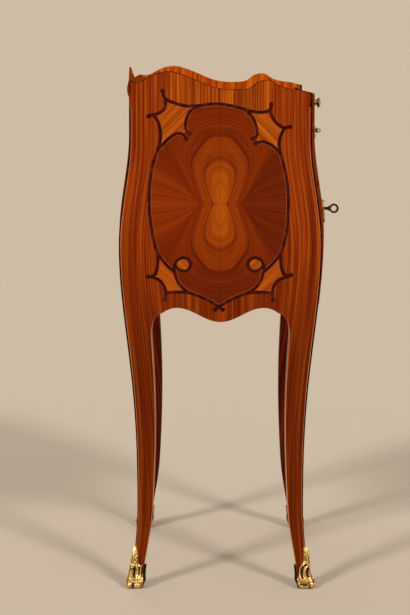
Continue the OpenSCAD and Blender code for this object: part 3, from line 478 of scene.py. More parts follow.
def metal(name, dark, mid, bright, rough):
    f = Finish(name, Metallic=1.0, Roughness=rough)
    spots = f.cloud(f.place(), 260.0, detail=4.0)
    f.into("Base Color", f.shades(spots, (0.36, dark), (0.52, mid), (0.68, bright)))
    f.into("Roughness", f.range(spots, 0.3, 0.7, rough + 0.1, rough - 0.08))
    return f.material


brass = metal("brass", (140, 104, 48), (178, 138, 70), (204, 166, 92), 0.4)
steel = metal("steel", (44, 42, 40), (62, 60, 58), (88, 85, 80), 0.42)

casting = Finish("cast_bronze", Metallic=1.0)
# The casting's colour follows an attribute that holds the gilding's wear and painted shade as well.
worn_and_shaded = casting.add("Attribute", attribute_name="wear").outputs["Fac"]
spots = casting.cloud(casting.place(), 420.0, detail=4.0)
worn_and_shaded = casting.math("ADD", worn_and_shaded, casting.range(spots, 0.3, 0.7, -0.14, 0.14))
gilding = casting.shades(worn_and_shaded, (0.08, (34, 22, 12)), (0.3, (92, 70, 38)), (0.48, (154, 122, 66)),
                         (0.66, (204, 168, 98)), (0.9, (246, 216, 150)))
casting.into("Base Color", gilding)
casting.into("Roughness", casting.range(worn_and_shaded, 0.1, 0.9, 0.55, 0.26))
cast_bronze = casting.material
gilt_bronze = metal("gilt_bronze", (136, 112, 74), (176, 150, 104), (216, 194, 150), 0.34)


def matched_panel(name, axes, low, high, margin, gloss=0.0):
    """Straight-grained sheets that meet at the middle in a diamond, with a border and a line."""
    f = Finish(name, Roughness=0.3, Specular_IOR_Level=gloss)
    at = f.split(f.place())
    a, b = at[axes[0]], at[axes[1]]
    edges = [f.math("SUBTRACT", a, low[0]), f.math("SUBTRACT", high[0], a),
             f.math("SUBTRACT", b, low[1]), f.math("SUBTRACT", high[1], b)]
    edge = f.math("MINIMUM", f.math("MINIMUM", *edges[:2]), f.math("MINIMUM", *edges[2:]))
    u, v = f.away(a, (low[0] + high[0]) / 2), f.away(b, (low[1] + high[1]) / 2)
    # The sheets' grain runs at 40 degrees to the level
    sheet = [f.weigh(u, 0.64, v, 0.77), f.weigh(u, 0.77, v, -0.64), 0.0]
    sheet = f.add("CombineXYZ", sheet).outputs[0]
    border = f.add("CombineXYZ", [a, b, 0.7]).outputs[0]
    inner = f.cloud(f.stretch(sheet, (150.0, 5.0, 1)), detail=4.0, rough=0.6)
    outer = f.cloud(f.stretch(border, (150.0, 6.0, 1)), detail=4.0, rough=0.6)
    inside = f.range(edge, margin - 0.0001, margin + 0.0001)
    figure = f.add("Mix", data_type="FLOAT", inputs=[inside, None, outer, inner]).outputs[0]
    colour = f.shades(figure, *zip((0.3, 0.43, 0.5, 0.58, 0.7), panel_tones))
    line = f.math("LESS_THAN", f.away(edge, margin), panel_line / 2)
    f.into("Base Color", f.blend("MIX", line, colour, rgb(52, 12, 8)))
    return f.material


panel_tones = [(96, 24, 4), (124, 40, 5), (148, 56, 7), (170, 76, 12), (196, 104, 24)]
panel_line = 0.0024
top_finish = matched_panel("top_marquetry", (0, 1), (-0.1819, -0.112), (0.1819, 0.136), 0.026, 0.06)
upper_finish = matched_panel("upper_front_marquetry", (0, 2), (-0.1475, 0.5464), (0.1475, 0.6504),
                             0.014)
lower_finish = matched_panel("lower_front_marquetry", (0, 2), (-0.1475, 0.4105), (0.1475, 0.5369),
                             0.014)
back_finish = matched_panel("back_marquetry", (0, 2), (-0.148, 0.40), (0.148, 0.673), 0.02)

finish_of_slot = {"tulipwood": front_veneer, "satinwood": satin_veneer,
                  "figured_veneer": flame_veneer, "dark_stringing": dark_string, "oak": oak,
                  "leather": leather, "gilt_bronze": gilt_bronze, "brass": brass, "steel": steel}
finish_of_node = {"top_board": top_finish}
for node, obj in nodes.items():
    for held in obj.material_slots:
        held.material = finish_of_node.get(node) or finish_of_slot[slot_of[node]]


# ---- Pieces ----
same_place = 2e-6


def new_mesh(name, bm, *finishes):
    """The mesh of a bmesh, which is freed."""
    mesh = bpy.data.meshes.new(name)
    bm.to_mesh(mesh)
    bm.free()
    for finish in finishes:
        mesh.materials.append(finish)
    return mesh


def merged_copy(node):
    bm = bmesh.new()
    bm.from_mesh(nodes[node].data)
    bmesh.ops.remove_doubles(bm, verts=bm.verts, dist=same_place)
    return bm


def split_large_faces(bm):
    bmesh.ops.triangulate(bm, faces=[f for f in bm.faces if len(f.verts) > 4])


def lay_normals(mesh, outward, soft):
    """Gives the faces along a true surface that surface's own normals, whatever their triangles."""
    mesh.set_sharp_from_angle(angle=radians(35))
    own = [corner.vector.copy() for corner in mesh.corner_normals]
    normals = []
    for polygon in mesh.polygons:
        flat = polygon.normal
        for loop in polygon.loop_indices:
            true = outward(mesh.vertices[mesh.loops[loop].vertex_index].co, flat)
            if true is not None and abs(flat.dot(true)) > 0.97:
                normals.append(true if flat.dot(true) > 0 else -true)
            else:
                normals.append(own[loop] if soft else flat.copy())
    mesh.normals_split_custom_set(normals)


def piece(name, mesh, node, smooth=35, outward=None, soft=False, instead=True):
    """A finished piece on a node's body, and instead of the node or laid on it."""
    mesh.shade_smooth()
    if outward:
        lay_normals(mesh, outward, soft)
    else:
        mesh.set_sharp_from_angle(angle=radians(smooth))
    obj = placed(name, mesh)
    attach(obj, body_of[node])
    if instead:
        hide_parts(node)
    return obj


def slices(bm, axis, places):
    for place in places:
        point, along = [0, 0, 0], [0, 0, 0]
        point[axis], along[axis] = place, 1
        bmesh.ops.bisect_plane(bm, geom=bm.verts[:] + bm.edges[:] + bm.faces[:], dist=same_place,
                               plane_co=point, plane_no=along)


def steps(low, high, size):
    count = max(1, round((high - low) / size))
    return [mix(low, high, i / count) for i in range(1, count)]


# How near a point is to a surface that it belongs to: sides, corners, front and back
side_near, corner_near, front_near = 0.0017, corner_flat + 0.0003, 0.0012
case_low = apron_mid_z - 0.003
half_step = 0.0005


def smooth_side(p):
    """Takes a point from the solids' flats to the true curve of the case's sides and corners."""
    x, y, z = p.x, p.y - set_back, p.z
    more = corner_sweep(z) - flat_sweep(z)
    if z > case_low and abs(x) > case_w / 2 + flat_sweep(z) - side_near:
        x += more * (1 if x > 0 else -1)
    if z > case_low and abs(y) > case_d / 2 + flat_sweep(z) - corner_near:
        y += more * (1 if y > 0 else -1)
    return Vector((x, fuller_loop(y, z) + set_back, z))


def smooth_front(p):
    x, y, z = p.x, p.y - set_back, p.z
    if abs(y - front_line(x, z)) < front_near:
        y = front_line(x, z)
    elif abs(y - back_line(x, z)) < front_near:
        y = back_line(x, z)
    return Vector((x, y + set_back, z))


def side_normal(p, flat=None):
    slope = (corner_sweep(p.z + half_step) - corner_sweep(p.z - half_step)) / (2 * half_step)
    return Vector((1 if p.x > 0 else -1, 0, -slope)).normalized()


def front_normal(p, flat=None):
    line = front_line if p.y < set_back else back_line
    lean = (line(p.x + half_step, p.z) - line(p.x - half_step, p.z)) / (2 * half_step)
    slope = (line(p.x, p.z + half_step) - line(p.x, p.z - half_step)) / (2 * half_step)
    return Vector((-lean, 1, -slope)).normalized() * (-1 if p.y < set_back else 1)


def lay_grain(bm, grain):
    """Maps the grain, and gives each face the finish that its sheet has."""
    uv = bm.loops.layers.uv.new("grain")
    back = Vector((0, set_back, 0))
    for face in bm.faces:
        middle = face.calc_center_median() - back
        for loop in face.loops:
            across, along, finish = grain(loop.vert.co - back, middle)
            loop[uv].uv = (across, along)
            face.material_index = finish


def veneered(node, grain, finishes, slice_z=0.006, slice_x=None, slice_y=(), also_z=(),
             settle=smooth_side, outward=side_normal):
    """A copy of a solid with its flats drawn out to smooth curves, and its own grain map."""
    bm = merged_copy(node)
    low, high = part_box(node)
    slices(bm, 2, steps(low.z, high.z, slice_z) + list(also_z))
    if slice_x:
        slices(bm, 0, steps(low.x, high.x, slice_x))
    slices(bm, 1, [set_back + y for y in slice_y])
    split_large_faces(bm)
    for vert in bm.verts:
        vert.co = settle(vert.co)
    lay_grain(bm, grain)
    mesh = new_mesh(node + "_veneered", bm, *finishes)
    return piece(mesh.name, mesh, node, outward=outward)


def corner_number(x, y):
    return (0 if x < 0 else 1) + (0 if y < 0 else 2)


# Each grain function says where a point lies across and along its sheet, and the sheet's finish.
# These shifts take neighbouring sheets from different places in the wood.
post_shift, left_shift, right_shift = 0.31, 2.3, 3.1
front_shift, end_shift, rim_shift = 0.7, 0.4, 1.7
# The light sheets start above this height, and the spandrels' grain meets at this one
field_z, cross_z = 0.6, 0.541


def side_grain(p, middle):
    """Stiles follow the outer corners; the sheets between their joints run straight."""
    if middle.z > case_top and abs(middle.y) > case_d / 2 - band_w:
        return half_d(p.z) - abs(p.y), p.z, 2
    if abs(middle.y) > sheet_joint:
        return half_d(p.z) - abs(p.y) + post_shift * corner_number(middle.x, middle.y), p.z, 0
    return p.y + (left_shift if middle.x < 0 else right_shift), p.z, 1 if middle.z > field_z else 0


def diagonal_grain(p, middle):
    rise, root = p.z - cross_z, 0.707
    shift = corner_number(middle.y, rise)
    return (abs(p.y) + abs(rise)) * root + shift, (abs(p.y) - abs(rise)) * root, 0


def upright_grain(p, middle):
    return p.x + front_shift, p.z, 0


# The back gallery's inner face: how far it stands in from the outer one at the top, and its lean
gallery_end, gallery_in, gallery_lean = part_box("gallery_back")[1].x, 0.0093, 0.194


def gallery_back_grain(p, middle):
    """A brighter copy of the veneer on the inner face of the back gallery, painted light; the colour
    of the front on the others.
    """
    if abs(middle.x) > gallery_end - 0.0003:
        return p.y + end_shift, p.z, 0
    inner = back_line(middle.x, middle.z) - gallery_in + gallery_lean * (middle.z - top_z)
    return p.x + front_shift, p.z, 1 if middle.z > top_z and middle.y < inner else 0


def flame_grain(p, middle):
    """Where the point lies among the figure's contours, and how far round them."""
    a, b = abs(p.y + set_back - seam_y), abs(p.z - seam_z)
    i, j = min(a * 1000, flame_phase.shape[0] - 2), min(b * 1000, flame_phase.shape[1] - 2)
    u, v = i - int(i), j - int(j)
    four = flame_phase[int(i):int(i) + 2, int(j):int(j) + 2]
    phase = mix(mix(four[0, 0], four[1, 0], u), mix(four[0, 1], four[1, 1], u), v)
    return phase / 1000, atan2(a, b + 0.002), 0


def rim_grain(p, middle):
    """A side gallery's finishes: its inner face in a brighter copy of the veneer, painted light, a
    pale rim, a painted highlight, and dark banding on its ends.
    """
    x, y, rise = abs(middle.x), abs(middle.y), middle.z - top_z
    end = y > case_d / 2 - 0.0045 and (middle.y < 0 or x > case_w / 2 - 0.006)
    if end or rise < 0.002 and y > case_d / 2 - 0.010:
        return case_d / 2 - abs(p.y), p.z, 2
    return p.y + p.x * 0.3 + rim_shift, p.z, 1 if rise > 0.004 and x > case_w / 2 - 0.0034 else 0


frame_slices = (-sheet_joint, sheet_joint, band_w - case_d / 2, case_d / 2 - band_w)
flame_step = 0.0025
flame_slices = [seam_y - set_back + flame_step * i for i in range(-39, 40)]
for side in ("left", "right"):
    veneered(f"veneer_frame_{side}", side_grain, (stile_veneer, field_veneer, corner_banding),
             slice_y=frame_slices)
    veneered(f"spandrels_{side}", diagonal_grain, (satin_veneer,))
    veneered(f"oval_veneer_{side}", flame_grain, (flame_veneer,), slice_z=flame_step,
             slice_y=flame_slices, also_z=(seam_z,))
    veneered(f"stringing_{side}", diagonal_grain, (dark_string,))
    veneered(f"gallery_{side}", rim_grain, (bright_veneer, rim_wood, corner_banding),
             slice_z=0.009, slice_y=steps(-0.13, 0.13, 0.008))
for node, grain, *finishes in (
        ("slide_lip", upright_grain, front_veneer), ("upper_front", upright_grain, upper_finish),
        ("lower_front", upright_grain, lower_finish), ("front_apron", upright_grain, front_veneer),
        ("slide_rail", upright_grain, front_veneer), ("drawer_rail", upright_grain, front_veneer),
        ("back_panel", upright_grain, back_finish),
        ("gallery_back", gallery_back_grain, front_veneer, bright_veneer)):
    veneered(node, grain, finishes, slice_x=0.012, slice_z=0.009, settle=smooth_front,
             outward=front_normal)


# ---- Legs: lofted anew, with eased edges, the dark corner band, a painted highlight on the eased edges and painted shade on the inner faces ----
def leg_t(z):
    if z < ankle_z:
        return mix(foot_t, ankle_t, z / ankle_z)
    if z < flare_z:
        return mix(ankle_t, knee_t, (z - ankle_z) / (flare_z - ankle_z))
    if z < arch_z:
        share = (z - flare_z) / (arch_z - flare_z)
        return mix(knee_t, post + corner_sweep(arch_z), 1 - sqrt(1 - share * share))
    return post + corner_sweep(z)


def splay(z):
    """How much further out the foot stands than in the solids."""
    return foot_splay * ease((splay_z - z) / splay_z)


def arc(middle, radius, start, end, count):
    turns = [mix(start, end, i / count) for i in range(count + 1)]
    return [(middle[0] + radius * cos(turn), middle[1] + radius * sin(turn)) for turn in turns]


def row(a, b, count):
    return [(mix(a[0], b[0], i / count), mix(a[1], b[1], i / count)) for i in range(count + 1)]


# The leg's finishes, and its rounded outer corner: shares of the corner's flat in from each face
on_stile, on_band, on_edge, on_inside, on_face = range(5)
# The eased edges take the pale finish, a painted highlight, and the inner faces the darker copy of
# the veneer, painted shade.
leg_finishes = (stile_veneer, corner_banding, light_edge, inner_wood, post_veneer)
corner_turn = [(0.02, 0.8), (0.07, 0.62), (0.25, 0.25), (0.62, 0.07)]
face_start = 1.7


def leg_section(z, bow, sunk):
    """Strips of a leg's outline for the +X +Y corner, and each stretch's finish."""
    t, xo, yo = leg_t(z), half_w(z) + splay(z), half_d(z) + splay(z)
    t -= foot_thinner * ease((splay_z - z) / splay_z)
    inside = t - 0.004 * ease((0.02 - z) / 0.017)
    xi, yi = xo - inside, yo - inside
    c = corner_flat * min(1, t / knee_t)
    e = edge_ease if z < flare_z else tight_ease
    if flare_z <= z < arch_z:
        e = mix(edge_ease, tight_ease, (z - flare_z) / (arch_z - flare_z))
    rise = bow * ease((z - ankle_z) / (flare_z - ankle_z))
    xs = xo - (veneer_t + 0.0001 if sunk else 0)

    def swell(x):
        return yo + rise * bell(x / xo)

    inner_y = row((xi + 2 * e, yi), (xs - e, yi), 4)
    turn_x = arc((xs - e, yi + e), e, -pi / 2, 0, 4)
    turned = [(xo - c * a, yo - c * b) for a, b in corner_turn]
    side = row((xs, yi + e), (xs, yo - c - 0.0001), 8) + [(xo, yo - c), turned[0]]
    x = xo - c * face_start
    corner = turned[1:] + [(xo - c, yo), (x, swell(x))]
    front = [(x, swell(x)) for x, _ in row((x, 0), (xi + e, 0), 8)]
    turn_y = arc((xi + e, swell(xi + e) - e), e, pi / 2, pi, 4)
    inner_x = row(turn_y[-1], (xi, yi + 2 * e), 4)
    heel = arc((xi + 2 * e, yi + 2 * e), 2 * e, pi, 3 * pi / 2, 3)
    strips = [(inner_y, on_inside), (turn_x, on_edge), (side, on_stile), (turned[:2], on_edge),
              (corner, on_band), (front, on_face), (turn_y, on_edge), (inner_x, on_inside),
              (heel, on_inside)]
    points, finishes = [], []
    for strip, finish in strips:
        points += strip[:-1]
        finishes += [finish] * (len(strip) - 1)
    return points, finishes


def leg(name, sx, sy):
    bow = front_bow if sy < 0 else back_bow
    levels = [sole_t] + steps(sole_t, arch_z - 0.0002, 0.005) + [arch_z - 0.0002, arch_z + 0.0001]
    levels += steps(arch_z, case_top, 0.006) + [case_top]
    bm = bmesh.new()
    uv = bm.loops.layers.uv.new("grain")
    rings, places = [], []
    for z in levels:
        points, finishes = leg_section(z, bow, z > arch_z)
        run = [0.0]
        for a, b in zip(points, points[1:] + points[:1]):
            run.append(run[-1] + hypot(b[0] - a[0], b[1] - a[1]))
        start = run[finishes.index(on_band)]
        places.append([start - r + corner_flat * 0.62 for r in run])
        rings.append([bm.verts.new((sx * x, sy * y + set_back, z)) for x, y in points])
    shift = post_shift * corner_number(sx, sy)
    count = len(rings[0])
    for k in range(len(rings) - 1):
        for i in range(count):
            j = (i + 1) % count
            face = bm.faces.new([rings[k][i], rings[k][j], rings[k + 1][j], rings[k + 1][i]])
            face.material_index = finishes[i]
            for loop, level, at in zip(face.loops, (k, k, k + 1, k + 1), (i, i + 1, i + 1, i)):
                loop[uv].uv = (places[level][at] + shift, levels[level])
    for ring in (rings[0], rings[-1]):
        bm.faces.new(ring).material_index = on_inside
    bmesh.ops.recalc_face_normals(bm, faces=bm.faces)

    def outward(p, flat):
        if abs(flat.x) > 0.9 and abs(p.x) > half_w(p.z) - 0.0015 and p.z > splay_z:
            return side_normal(p)
        if abs(flat.y) > 0.9 and abs(p.y - set_back) > half_d(p.z) - 0.0005 and p.z > flare_z:
            return front_normal(p)
        return None

    mesh = new_mesh(name + "_veneered", bm, *leg_finishes)
    piece(mesh.name, mesh, name, outward=outward, soft=True)


corners = {"front_left": (-1, -1), "front_right": (1, -1),
           "back_left": (-1, 1), "back_right": (1, 1)}
for place, (sx, sy) in corners.items():
    leg("leg_" + place, sx, sy)

# ---- Shoes: one casting, turned to the four corners ----
# Sizes in millimetres. Left and right are the casting's two faces, as one looks at the corner.
# A rim is the casting's upper edge on a face: places out from the leg's corner, and heights. A
# profile gives heights, and how far the casting stands out there.
left_rim = [(-40, 34), (-12.9, 34), (-12.4, 21), (-11.9, 16.4), (-9.8, 15.4), (-9.3, 21.3),
            (-8.7, 26.1), (-7.3, 30.8), (-4.4, 35.4), (-2.6, 37.6), (-1.8, 41), (-1.1, 46),
            (-0.8, 51), (-0.3, 55), (0.6, 59), (1.6, 60.5), (9, 61)]
right_rim = [(-40, 34), (-12.9, 34), (-12.2, 32.8), (-10.9, 35.4), (-9.6, 33.6), (-8.2, 32.8),
             (-5.4, 34.2), (-3.8, 37), (-3.1, 41), (-3.3, 46.4), (-2.4, 48.4), (-2.2, 51.6),
             (-1.2, 53.6), (-0.4, 56.4), (0.6, 59), (1.6, 60.5), (9, 61)]
left_profile = [(0, 5.5), (1.2, 9.6), (4.2, 12.0), (8.4, 12.4), (12, 11.4), (15.7, 10), (21.2, 8.4),
                (26.6, 7), (32, 6), (40, 5), (46.6, 4.7), (52.7, 3.6), (60, 1.4), (64, 1.2)]
right_profile = [(0, 5.5), (1.2, 9.8), (4.3, 13.2), (7.3, 14.2), (11, 13.2), (14, 10.4),
                 (19.4, 7.2), (25, 5.6), (30, 5.6), (37, 6.2), (46, 6.2), (52, 4.6), (60, 1.6),
                 (64, 1.3)]
# Each ridge, or hollow where the height is negative, has a half width, a height and its line. Each
# boss has a place, two radii and a height.
left_lines = [
    (1.0, 1.9, [(6.7, 34), (3.2, 36.1), (-0.3, 36.4), (-3.4, 34), (-6.2, 30.3), (-7.6, 26.1),
                (-8.2, 21.3), (-7.9, 17.6), (-7, 15.2), (-4.7, 12.8)]),
    (0.8, 1.4, [(3, 32.2), (0.6, 29.7), (-1.4, 26.1), (-2.4, 21.9), (-2.8, 18.2), (-1.7, 14.6),
                (0.6, 11.6)]),
    (0.7, 1.1, [(3.9, 15.8), (5.1, 13.4), (5.9, 11)]),
    (0.9, 1.2, [(-9.5, 7.3), (-7.8, 3.7), (-1.8, 1.8), (3.5, 3.7), (4.1, 7.3)]),
    (0.7, 1.0, [(3.6, 38), (3.4, 47), (2.6, 53), (1.2, 59)]),
    (0.4, 0.6, [(3.2, 43), (0, 48)]),
    (0.4, 0.6, [(3, 48), (0.3, 53)]),
    (1.2, -1.4, [(2, 34), (-2.6, 31.4), (-4.8, 26.6), (-5.4, 21), (-4.6, 16.4)]),
    (1.9, -1.5, [(4.2, 29), (2.8, 23), (3, 18.6)]),
    (0.7, -1.8, [(5.2, 0), (5, 5), (4.6, 8.8)]),
    (1.5, -0.9, [(-6, 6.4), (0.6, 6.4)]),
]
left_bosses = [(3.9, 15.8, 1.7, 1.7, 1.5), (7.9, 6.6, 2.6, 4.2, 1.5), (5.8, 33.4, 1.8, 1.8, 1.4),
               (-10.9, 13.7, 1.7, 1.7, 1.3)]
right_lines = [
    (0.8, 1.4, [(6.6, 32.1), (5.9, 34), (4.2, 34.8), (2.4, 33.9), (1.7, 32.1), (2.4, 30.4),
                (4.2, 29.6), (6, 30.4)]),
    (0.9, 1.4, [(-10.7, 35.1), (-7.6, 32.1), (-4, 32.7), (-1.6, 33.3), (1.3, 32.7)]),
    (0.7, 0.9, [(1.5, 35.5), (-1, 38), (-2, 41)]),
    (1.1, 1.4, [(-2.4, 30.9), (-3.8, 24.8), (-3.4, 18.8), (-3, 12.7), (-2.8, 7.2)]),
    (0.9, 0.9, [(-8.3, 30.9), (-7.9, 24.8), (-7.5, 18.8)]),
    (0.9, 1.0, [(0.5, 2.4), (-4.8, 1.8), (-8.4, 5.4)]),
    (0.8, 0.9, [(9.6, 4.6), (5.2, 2.4)]),
    (0.7, 1.0, [(3.6, 37), (3.2, 46), (2.4, 53), (1.2, 59)]),
    (0.5, 0.7, [(3.1, 41), (-2, 46)]),
    (0.5, 0.6, [(2.8, 47), (-1.4, 51.6)]),
    (1.7, -1.4, [(1.5, 28.4), (1, 24), (1.2, 18.6)]),
    (0.9, -1.0, [(-6, 29.6), (-5.9, 20)]),
    (1.0, -1.0, [(-10.6, 30), (-10.2, 19)]),
    (0.8, -1.9, [(2.7, 0), (2.5, 4.6), (2, 8.8)]),
]
right_bosses = [(4.2, 32.1, 1.2, 1.2, 1.6), (4.8, 14.8, 1.4, 1.6, 1.5), (1.9, 12.4, 1.5, 1.6, 1.4),
                (-10.3, 15.1, 2.2, 2.2, 1.7), (7.2, 6.2, 3.2, 3.8, 1.3), (-4.4, 5, 5.2, 3.8, 1.5),
                (-2.8, 47, 1, 1.4, 1.0), (-2, 51.8, 0.8, 1.2, 0.8)]


def smooth_step(v):
    v = np.clip(v, 0, 1)
    return v * v * (3 - 2 * v)


def relief(d, z, lines, bosses):
    """Height of the modelling over the casting's plain surface."""
    up, down = np.zeros_like(d), np.zeros_like(d)
    for half, height, points in lines:
        near = np.full_like(d, 99.0)
        for start, end in zip(points, points[1:]):
            near = np.minimum(near, gap_to_stretch(d, z, start, end))
        bank = height * np.exp(-(near / half) ** 2)
        up, down = np.maximum(up, bank), np.minimum(down, bank)
    for d0, z0, wide, tall, height in bosses:
        dome = np.clip(1 - ((d - d0) / wide) ** 2 - ((z - z0) / tall) ** 2, 0, 1)
        up = np.maximum(up, height * np.sqrt(dome))
    return up + down


def even_profile(points):
    """The profile's values at even heights, with its corners softened."""
    heights = np.arange(0, 64.01, 0.25)
    values = np.interp(heights, *zip(*points))
    soft = np.exp(-(np.arange(-12, 13) / 4.0) ** 2)
    return heights, np.convolve(np.pad(values, 12, "edge"), soft / soft.sum(), "valid")


# The leg's own lines, for arrays of heights
foot_out, foot_sweep = np.vectorize(splay), np.vectorize(corner_sweep)


def shoe_casting():
    """Points round the leg's middle, in millimetres, with the gilding's wear and painted shade, and
    the faces.
    """
    columns, rows = 192, 120
    s = np.linspace(-1, 1, columns, endpoint=False)
    swing = 180 * (0.42 * s + 0.58 * s ** 3)
    theta = np.radians(45 + swing)
    square = (np.abs(np.cos(theta)) ** 6 + np.abs(np.sin(theta)) ** 6) ** (-1 / 6)
    left, right = even_profile(left_profile), even_profile(right_profile)

    def moved(z):
        return 1000 * foot_out(z / 1000)

    def surface(z):
        """Points of the plain surface at heights z, and the leg's half thickness there."""
        half = mix(foot_t, ankle_t, z / (1000 * ankle_z)) * 500
        out = mix(np.interp(z, *left), np.interp(z, *right), smooth_step((swing + 10) / 30))
        out = out - moved(z) - 1.2 * (1 - smooth_step(z / 40))
        power = 1.5 + 2.6 * smooth_step((z - 12) / 20)
        flange = smooth_step((np.abs(swing) - 76) / 12)
        wall = 1.1 + flange * (0.7 - 4.6 * (1 - smooth_step(z / 16)))
        r = half + wall + np.maximum(out, 0.4) * ((1 + np.cos(np.radians(swing))) / 2) ** power
        return r * square * np.cos(theta), r * square * np.sin(theta), half - moved(z)

    # The upper edge: the highest point of each column that lies below its face's rim
    rising = np.arange(8, 61.5, 0.1)[:, None]
    a, b, half = surface(rising)
    rim = np.where(swing < 0, np.interp(b - half, *zip(*left_rim)),
                   np.interp(a - half, *zip(*right_rim)))
    held = rising <= rim
    highest = rising[held.shape[0] - 1 - np.argmax(held[::-1], axis=0), 0]
    behind = 34.0 - 9.0 * smooth_step((np.abs(swing) - 98) / 10)
    top = np.where(np.abs(swing) > 88, behind, highest)
    for _ in range(2):
        top = (np.roll(top, 1) + 2 * top + np.roll(top, -1)) / 4
    z = np.linspace(0, 1, rows + 1)[:, None] ** 0.92 * top
    a, b, half = surface(z)
    height = mix(relief(b - half, z, left_lines, left_bosses),
                 relief(a - half, z, right_lines, right_bosses), smooth_step((swing + 4) / 8))
    height = height * (1 - smooth_step((np.abs(swing) - 70) / 12))
    outer = 1 + height / np.hypot(a, b)
    grid = [np.stack([a * outer, b * outer, z], axis=2)]
    # The flange beside the leg is darkened, partly as dull ungilded bronze and partly as painted
    # shade; the lowest millimetre and a half is darkened as painted shade at the floor.
    tone = 1 - 0.9 * smooth_step((np.abs(swing) - 70) / 10)
    tone = tone + 0.62 * smooth_step((np.abs(swing) - 102) / 10)
    wear = [np.clip(0.5 + 0.32 * height, 0, 1) * tone * smooth_step(z / 1.6 + 0.1)]

    def ring(shrink, at, tone):
        """Takes the casting's edge in towards the leg, and down its inside."""
        x, y, half = surface(at)
        inner = (half + moved(at) - 0.4) * square
        x, y = mix(x, inner * np.cos(theta), shrink), mix(y, inner * np.sin(theta), shrink)
        grid.append(np.stack([x, y, at], axis=1)[None])
        wear.append(np.full((1, columns), tone))

    ring(0.5, top + 0.35, 0.7)
    ring(1.08, top + 0.1, 0.3)
    ring(1.1, np.full(columns, 2.9), 0.1)
    points, tones = np.concatenate(grid), np.concatenate(wear)
    count = points.shape[0]
    faces = []
    for k in range(count - 1):
        for i in range(columns):
            j = (i + 1) % columns
            low, high = k * columns, (k + 1) * columns
            faces.append((low + i, low + j, high + j, high + i))
    faces.append(tuple(range(columns))[::-1])
    faces.append(tuple(range((count - 1) * columns, count * columns)))
    return points.reshape(-1, 3), tones.reshape(-1), faces


cast_points, cast_wear_and_shade, cast_faces = shoe_casting()
for place, (sx, sy) in corners.items():
    # The casting's two faces change places on two of the corners
    turned = ((sx, 0), (0, sy)) if sx == sy else ((0, sy), (sx, 0))
    z = cast_points[:, 2] / 1000
    out = foot_sweep(z) + foot_out(z) - mix(foot_t, ankle_t, z / ankle_z) / 2
    across = cast_points[:, :2] / 1000 @ np.array(turned)
    across += np.stack([sx * (case_w / 2 + out), sy * (case_d / 2 + out) + set_back], axis=1)
    mesh = bpy.data.meshes.new(f"sabot_{place}_cast")
    mesh.from_pydata(np.column_stack([across, z]).tolist(), [], cast_faces)
    mesh.attributes.new("wear", "FLOAT", "POINT").data.foreach_set("value", cast_wear_and_shade)
    mesh.materials.append(cast_bronze)
    piece(f"sabot_{place}_cast", mesh, f"sabot_{place}", smooth=70)


# ---- Lines laid along paths, and small repeated parts, made with Geometry Nodes ----
def node_group(name, inputs, build):
    tree = bpy.data.node_groups.new(name, "GeometryNodeTree")
    for label, kind in [("Geometry", "Geometry")] + inputs:
        tree.interface.new_socket(label, in_out="INPUT", socket_type="NodeSocket" + kind)
    tree.interface.new_socket("Geometry", in_out="OUTPUT", socket_type="NodeSocketGeometry")
    start, end = tree.nodes.new("NodeGroupInput"), tree.nodes.new("NodeGroupOutput")
    real = new_node(tree, "GeometryNodeRealizeInstances", [build(tree, start.outputs)])
    paint = {"Geometry": real.outputs[0], "Material": start.outputs["Finish"]}
    painted = new_node(tree, "GeometryNodeSetMaterial", paint)
    tree.links.new(painted.outputs[0], end.inputs[0])
    return tree


def laid_line(tree, given):
    circle = {"Resolution": given["Sides"], "Radius": given["Radius"]}
    ring = new_node(tree, "GeometryNodeCurvePrimitiveCircle", circle)
    sweep = {"Curve": given["Geometry"], "Profile Curve": ring.outputs[0], "Fill Caps": True}
    return new_node(tree, "GeometryNodeCurveToMesh", sweep).outputs[0]


def set_parts(tree, given):
    part = new_node(tree, "GeometryNodeObjectInfo", {"Object": given["Part"]})
    spread = {"Points": given["Geometry"], "Instance": part.outputs["Geometry"]}
    return new_node(tree, "GeometryNodeInstanceOnPoints", spread).outputs[0]


line_inputs = [("Radius", "Float"), ("Sides", "Int"), ("Finish", "Material")]
line_group = node_group("laid_line", line_inputs, laid_line)
part_group = node_group("set_parts", [("Part", "Object"), ("Finish", "Material")], set_parts)


def grown(name, data, tree, **values):
    """The mesh that a node group makes of a curve or of points."""
    holder = placed(name, data)
    modifier = holder.modifiers.new(name, "NODES")
    modifier.node_group = tree
    for item in tree.interface.items_tree:
        if item.in_out == "INPUT" and item.name in values:
            modifier[item.identifier] = values[item.name]
    holder.update_tag()
    seen = bpy.context.evaluated_depsgraph_get()
    mesh = bpy.data.meshes.new_from_object(holder.evaluated_get(seen))
    bpy.data.objects.remove(holder)
    mesh.name = name
    return mesh


def lines(name, node, paths, radius, finish):
    """Thin round lines laid along paths."""
    curve = bpy.data.curves.new(name + "_path", "CURVE")
    curve.dimensions = "3D"
    for path in paths:
        closed = (path[0] - path[-1]).length < 1e-5
        path = path[:-1] if closed else path
        spline = curve.splines.new("POLY")
        spline.points.add(len(path) - 1)
        for point, at in zip(spline.points, path):
            point.co = (*at, 1)
        spline.use_cyclic_u = closed
    mesh = grown(name, curve, line_group, Radius=radius, Sides=6, Finish=finish)
    return piece(name, mesh, node, smooth=70, instead=False)


